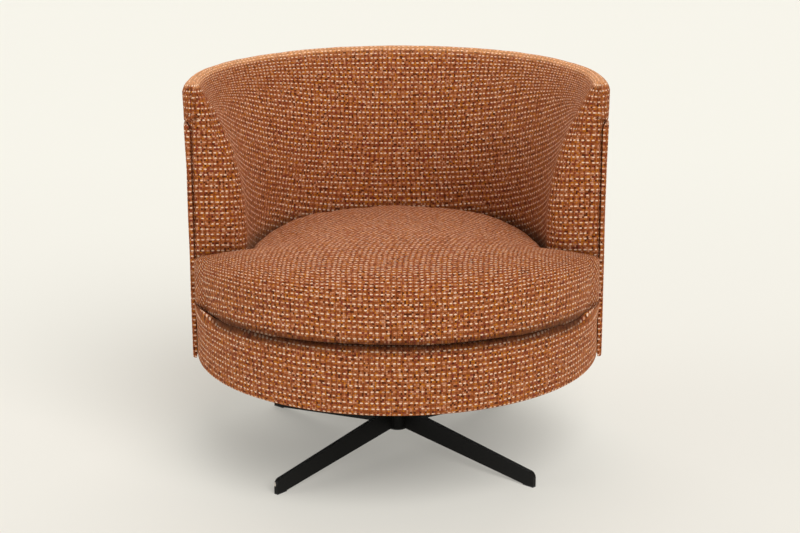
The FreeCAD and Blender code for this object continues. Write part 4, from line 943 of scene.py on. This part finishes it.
# Small parts that repeat along a path.
def repeat_along(name, carrier, spacing, make_unit, slot, follow):
    """Repeats a small mesh along the carrier's edges, turned to follow them or turned at random."""
    tree = bpy.data.node_groups.new(name, "GeometryNodeTree")
    tree.interface.new_socket("Path", in_out="INPUT", socket_type="NodeSocketGeometry")
    step = tree.interface.new_socket("Spacing", in_out="INPUT", socket_type="NodeSocketFloat")
    finish = tree.interface.new_socket("Finish", in_out="INPUT", socket_type="NodeSocketMaterial")
    tree.interface.new_socket("Geometry", in_out="OUTPUT", socket_type="NodeSocketGeometry")
    given = add_node(tree, "NodeGroupInput")
    curve = add_node(tree, "GeometryNodeMeshToCurve", {0: given.outputs["Path"]})
    spots = add_node(tree, "GeometryNodeCurveToPoints", {
        "Curve": curve.outputs[0], "Length": given.outputs["Spacing"]}, mode="LENGTH")
    turn = spots.outputs["Rotation"] if follow else add_node(tree, "FunctionNodeRandomValue", {
        "Max": (0.4, 0.4, 3.1), "Seed": 4}, data_type="FLOAT_VECTOR").outputs[0]
    size = add_node(tree, "FunctionNodeRandomValue", {2: 0.92, 3: 1.08, "Seed": 7}, data_type="FLOAT")
    units = add_node(tree, "GeometryNodeInstanceOnPoints", {
        "Points": spots.outputs[0], "Instance": make_unit(tree), "Rotation": turn, "Scale": size.outputs[1]})
    real = add_node(tree, "GeometryNodeRealizeInstances", {0: units.outputs[0]})
    painted = add_node(tree, "GeometryNodeSetMaterial", {
        "Geometry": real.outputs[0], "Material": given.outputs["Finish"]})
    add_node(tree, "NodeGroupOutput", {0: painted.outputs[0]})
    modifier = carrier.modifiers.new(name, "NODES")
    modifier.node_group = tree
    modifier[step.identifier] = spacing
    modifier[finish.identifier] = MADE[slot]
    carrier.data.materials.clear()
    return bake_modifiers(carrier)


def weld_beads():
    """Beads of weld up both sides of each blade where it meets the hub."""
    sizes = bpy.context.scene.base_sizes
    points, edges = [], []
    for name in LEGS:
        verts = [v.co for v in NODES[name].data.vertices]
        nearest = min(Vector(co.xy).length for co in verts)
        root = [co for co in verts if Vector(co.xy).length < nearest + 0.0015]
        low, high = min(co.z for co in root), max(co.z for co in root)
        sides = {(round(co.x, 4), round(co.y, 4)) for co in root}
        middle = Vector((sum(at[0] for at in sides), sum(at[1] for at in sides))) / len(sides)
        across = middle.normalized()
        spread = sorted(sides, key=lambda at: (across.cross(Vector(at)), math.atan2(at[1], at[0])))
        for at in (spread[0], spread[-1]):
            out = Vector(at).normalized() * (HUB_RADIUS + sizes.weld_bead * 0.3)
            points += [(out.x, out.y, low + 0.001), (out.x, out.y, high - 0.001)]
            edges.append((len(points) - 2, len(points) - 1))

    def ripple(tree):
        return add_node(tree, "GeometryNodeMeshUVSphere", {
            "Segments": 10, "Rings": 6, "Radius": sizes.weld_bead}).outputs[0]

    carrier = path_object("weld_beads", points, edges)
    return repeat_along("weld_ripples", carrier, sizes.weld_step, ripple, "black_steel", follow=False)


def cover_staples():
    """Staples that hold the dust cover to the frame ring, seen from below."""
    sizes = bpy.context.scene.base_sizes
    radius, level, cuts = DUST_RADIUS - 0.012, DUST_UNDERSIDE - sizes.staple_wire / 2, 180
    turns = [2 * math.pi * number / cuts for number in range(cuts + 1)]
    points = [(radius * math.cos(t), radius * math.sin(t), level) for t in turns]
    carrier = path_object("cover_staples", points, [(n, n + 1) for n in range(cuts)])

    def staple(tree):
        size = (sizes.staple_wire, sizes.staple_wire, sizes.staple_length)
        return add_node(tree, "GeometryNodeMeshCube", {"Size": size}).outputs[0]

    spacing = 2 * math.pi * radius / sizes.staple_count
    return repeat_along("staple_row", carrier, spacing, staple, "bright_steel", follow=True)


def rocker_springs():
    """Copies of the rocker's coil springs as they stand in the frame; the real springs shorten from the top
    as the seat rocks on to them, which these copies don't.
    """
    for place in ("front", "rear"):
        node = NODES["rocker_spring_" + place]
        obj = new_object("coil_spring_" + place, node.data.copy())
        finish_piece(obj, "swivel", "spring_steel", node.name)
        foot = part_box(node.name)[0].z
        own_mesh(obj)


def finish_piece(obj, body, slot, *nodes):
    """Gives a piece the material of its slot unless it has one, attaches it to its body, and hides the CAD
    nodes that it stands for.
    """
    if not obj.data.materials:
        obj.data.materials.append(MADE[slot])
    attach(obj, body)
    if nodes:
        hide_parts(*nodes)


MADE = {}
PADS = ("inside_upholstery", "apron_upholstery", "seat_cushion")


class CHAIR_OT_materials(bpy.types.Operator):
    """Make the materials and put them on the frame's own parts"""

    bl_idname = "chair.materials"
    bl_label = "Materials"

    def execute(self, context):
        MADE.update(slot_materials())
        for part in frame["record"]["subparts"]:
            materials = NODES[part["node"]].data.materials
            materials.clear()
            materials.append(MADE[part["material_slot"]])
        return {"FINISHED"}


class CHAIR_OT_inside(bpy.types.Operator):
    """Make the padded inside of the tub"""

    bl_idname = "chair.inside"
    bl_label = "Inside back and arms"

    def execute(self, context):
        obj = tub_upholstery()
        finish_piece(obj, "seat", "tweed", "inside_cover", "wall_foam")
        return {"FINISHED"}


class CHAIR_OT_outside(bpy.types.Operator):
    """Make the plain outside of arms and back"""

    bl_idname = "chair.outside"
    bl_label = "Outside"

    def execute(self, context):
        finish_piece(outside_upholstery(), "seat", "tweed", "outside_panel")
        return {"FINISHED"}


class CHAIR_OT_apron(bpy.types.Operator):
    """Make the padded apron under the cushion"""

    bl_idname = "chair.apron"
    bl_label = "Apron"

    def execute(self, context):
        finish_piece(apron_upholstery(), "seat", "tweed", "front_apron")
        return {"FINISHED"}


class CHAIR_OT_cushion(bpy.types.Operator):
    """Make the crowned seat cushion"""

    bl_idname = "chair.cushion"
    bl_label = "Cushion"

    def execute(self, context):
        obj = cushion_upholstery()
        finish_piece(obj, "seat", "tweed", "cushion_cover", "cushion_core")
        return {"FINISHED"}


class CHAIR_OT_painted_shading(bpy.types.Operator):
    """Paint shade where pads press together and a highlight along the crest"""

    bl_idname = "chair.creases"
    bl_label = "Painted shade and highlight"

    def execute(self, context):
        shade_folds_light_crest([bpy.data.objects[name] for name in PADS])
        return {"FINISHED"}


class CHAIR_OT_fittings(bpy.types.Operator):
    """Make the weld beads on the base, the rocker's springs and the staples under the drum"""

    bl_idname = "chair.fittings"
    bl_label = "Welds and staples"

    def execute(self, context):
        finish_piece(weld_beads(), "base", "black_steel")
        rocker_springs()
        finish_piece(cover_staples(), "seat", "bright_steel")
        return {"FINISHED"}


class CHAIR_OT_stage(bpy.types.Operator):
    """Make the floor, lamps, world and camera"""

    bl_idname = "chair.stage"
    bl_label = "Stage"

    def execute(self, context):
        floor_and_world()
        sun("key", azimuth=27, elevation=48, softness=45, power=2.20)
        sun("fill", azimuth=-80, elevation=8, softness=40, power=1.00)
        sun("rim", azimuth=180, elevation=40, softness=60, power=1.10)
        camera()
        return {"FINISHED"}


def floor_and_world():
    """A pale studio floor that glows a little, as under a tent of light, and an even pale sky."""
    material, tree, shader = new_material("pale_studio_floor")
    # The floor's colour is a little darker towards the front: a painted falloff of the light.
    place = add_node(tree, "ShaderNodeTexCoord").outputs["Object"]
    depth = add_node(tree, "ShaderNodeSeparateXYZ", {0: place}).outputs[1]
    share = add_node(tree, "ShaderNodeMapRange", {0: depth, 1: -1.2, 2: 2.5}).outputs[0]
    tone = mixed(tree, share, rgba(linear("e7e4dc")), rgba(linear("eeece3")))
    matt = add_node(tree, "ShaderNodeBsdfDiffuse", {"Color": tone}).outputs[0]
    glow = add_node(tree, "ShaderNodeEmission", {"Color": tone}).outputs[0]
    both = add_node(tree, "ShaderNodeMixShader", {0: 0.32, 1: matt, 2: glow}).outputs[0]
    tree.links.new(both, tree.nodes["Material Output"].inputs["Surface"])
    tree.nodes.remove(shader)
    half = 60
    corners = [(-half, -half, 0), (half, -half, 0), (half, half, 0), (-half, half, 0)]
    floor = mesh_object("studio_floor", corners, [(0, 1, 2, 3)])
    floor.data.materials.append(material)
    world = bpy.data.worlds.new("studio")
    world.use_nodes = True
    tree = world.node_tree
    sky = tree.nodes["Background"]
    sky.inputs["Color"].default_value = rgba(linear("fffdf8"))
    sky.inputs["Strength"].default_value = 0.34
    backdrop = add_node(tree, "ShaderNodeBackground", {"Color": rgba(linear("f8f6eb")), "Strength": 1.0})
    ray = add_node(tree, "ShaderNodeLightPath").outputs["Is Camera Ray"]
    both = add_node(tree, "ShaderNodeMixShader", {0: ray, 1: sky.outputs[0], 2: backdrop.outputs[0]})
    tree.links.new(both.outputs[0], tree.nodes["World Output"].inputs["Surface"])
    bpy.context.scene.world = world
    bpy.context.scene.view_settings.view_transform = "Standard"


def sun(name, azimuth, elevation, softness, power):
    """An even soft light, from so many degrees right of the front and above the floor."""
    light = bpy.data.lights.new(name, "SUN")
    light.angle = math.radians(softness)
    light.energy = power
    obj = new_object(name, light)
    round_z, rise = math.radians(azimuth), math.radians(elevation)
    source = Vector((math.sin(round_z) * math.cos(rise), -math.cos(round_z) * math.cos(rise), math.sin(rise)))
    obj.location = 4 * source
    obj.rotation_euler = source.to_track_quat("Z", "Y").to_euler()


def camera():
    """The photograph's view: from the front, a little above, through a long lens."""
    lens = bpy.data.cameras.new("photograph")
    lens.lens = 85
    lens.sensor_width = 36
    lens.clip_end = 100
    obj = new_object("photograph", lens)
    pitch = Matrix.Rotation(math.radians(90 - CAMERA_FALL), 4, "X")
    roll = Matrix.Rotation(math.radians(CAMERA_ROLL), 4, "Z")
    obj.matrix_world = Matrix.Translation(CAMERA_PLACE) @ pitch @ roll
    bpy.context.scene.camera = obj


OPERATORS = (
    CHAIR_OT_materials,
    CHAIR_OT_inside,
    CHAIR_OT_outside,
    CHAIR_OT_apron,
    CHAIR_OT_cushion,
    CHAIR_OT_painted_shading,
    CHAIR_OT_fittings,
    CHAIR_OT_stage,
)


class CHAIR_PT_pieces(bpy.types.Panel):
    """The chair's pieces and sizes, in the 3D view's sidebar."""

    bl_idname = "CHAIR_PT_pieces"
    bl_label = "Swivel rocker"
    bl_space_type = "VIEW_3D"
    bl_region_type = "UI"
    bl_category = "Chair"

    def draw(self, context):
        for operator in OPERATORS:
            self.layout.operator(operator.bl_idname)
        for group in (context.scene.chair_sizes, context.scene.tweed_sizes, context.scene.base_sizes):
            for key in group.__annotations__:
                self.layout.prop(group, key)


CLASSES = (ChairSizes, TweedSizes, BaseSizes, *OPERATORS, CHAIR_PT_pieces)


def register():
    for each in CLASSES:
        bpy.utils.register_class(each)
    bpy.types.Scene.chair_sizes = PointerProperty(type=ChairSizes)
    bpy.types.Scene.tweed_sizes = PointerProperty(type=TweedSizes)
    bpy.types.Scene.base_sizes = PointerProperty(type=BaseSizes)


def unregister():
    del bpy.types.Scene.base_sizes
    del bpy.types.Scene.tweed_sizes
    del bpy.types.Scene.chair_sizes
    for each in reversed(CLASSES):
        bpy.utils.unregister_class(each)


def main():
    register()
    bpy.ops.chair.materials()
    bpy.ops.chair.inside()
    bpy.ops.chair.outside()
    bpy.ops.chair.apron()
    bpy.ops.chair.cushion()
    bpy.ops.chair.creases()
    bpy.ops.chair.fittings()
    bpy.ops.chair.stage()


if __name__ == "__main__":
    main()
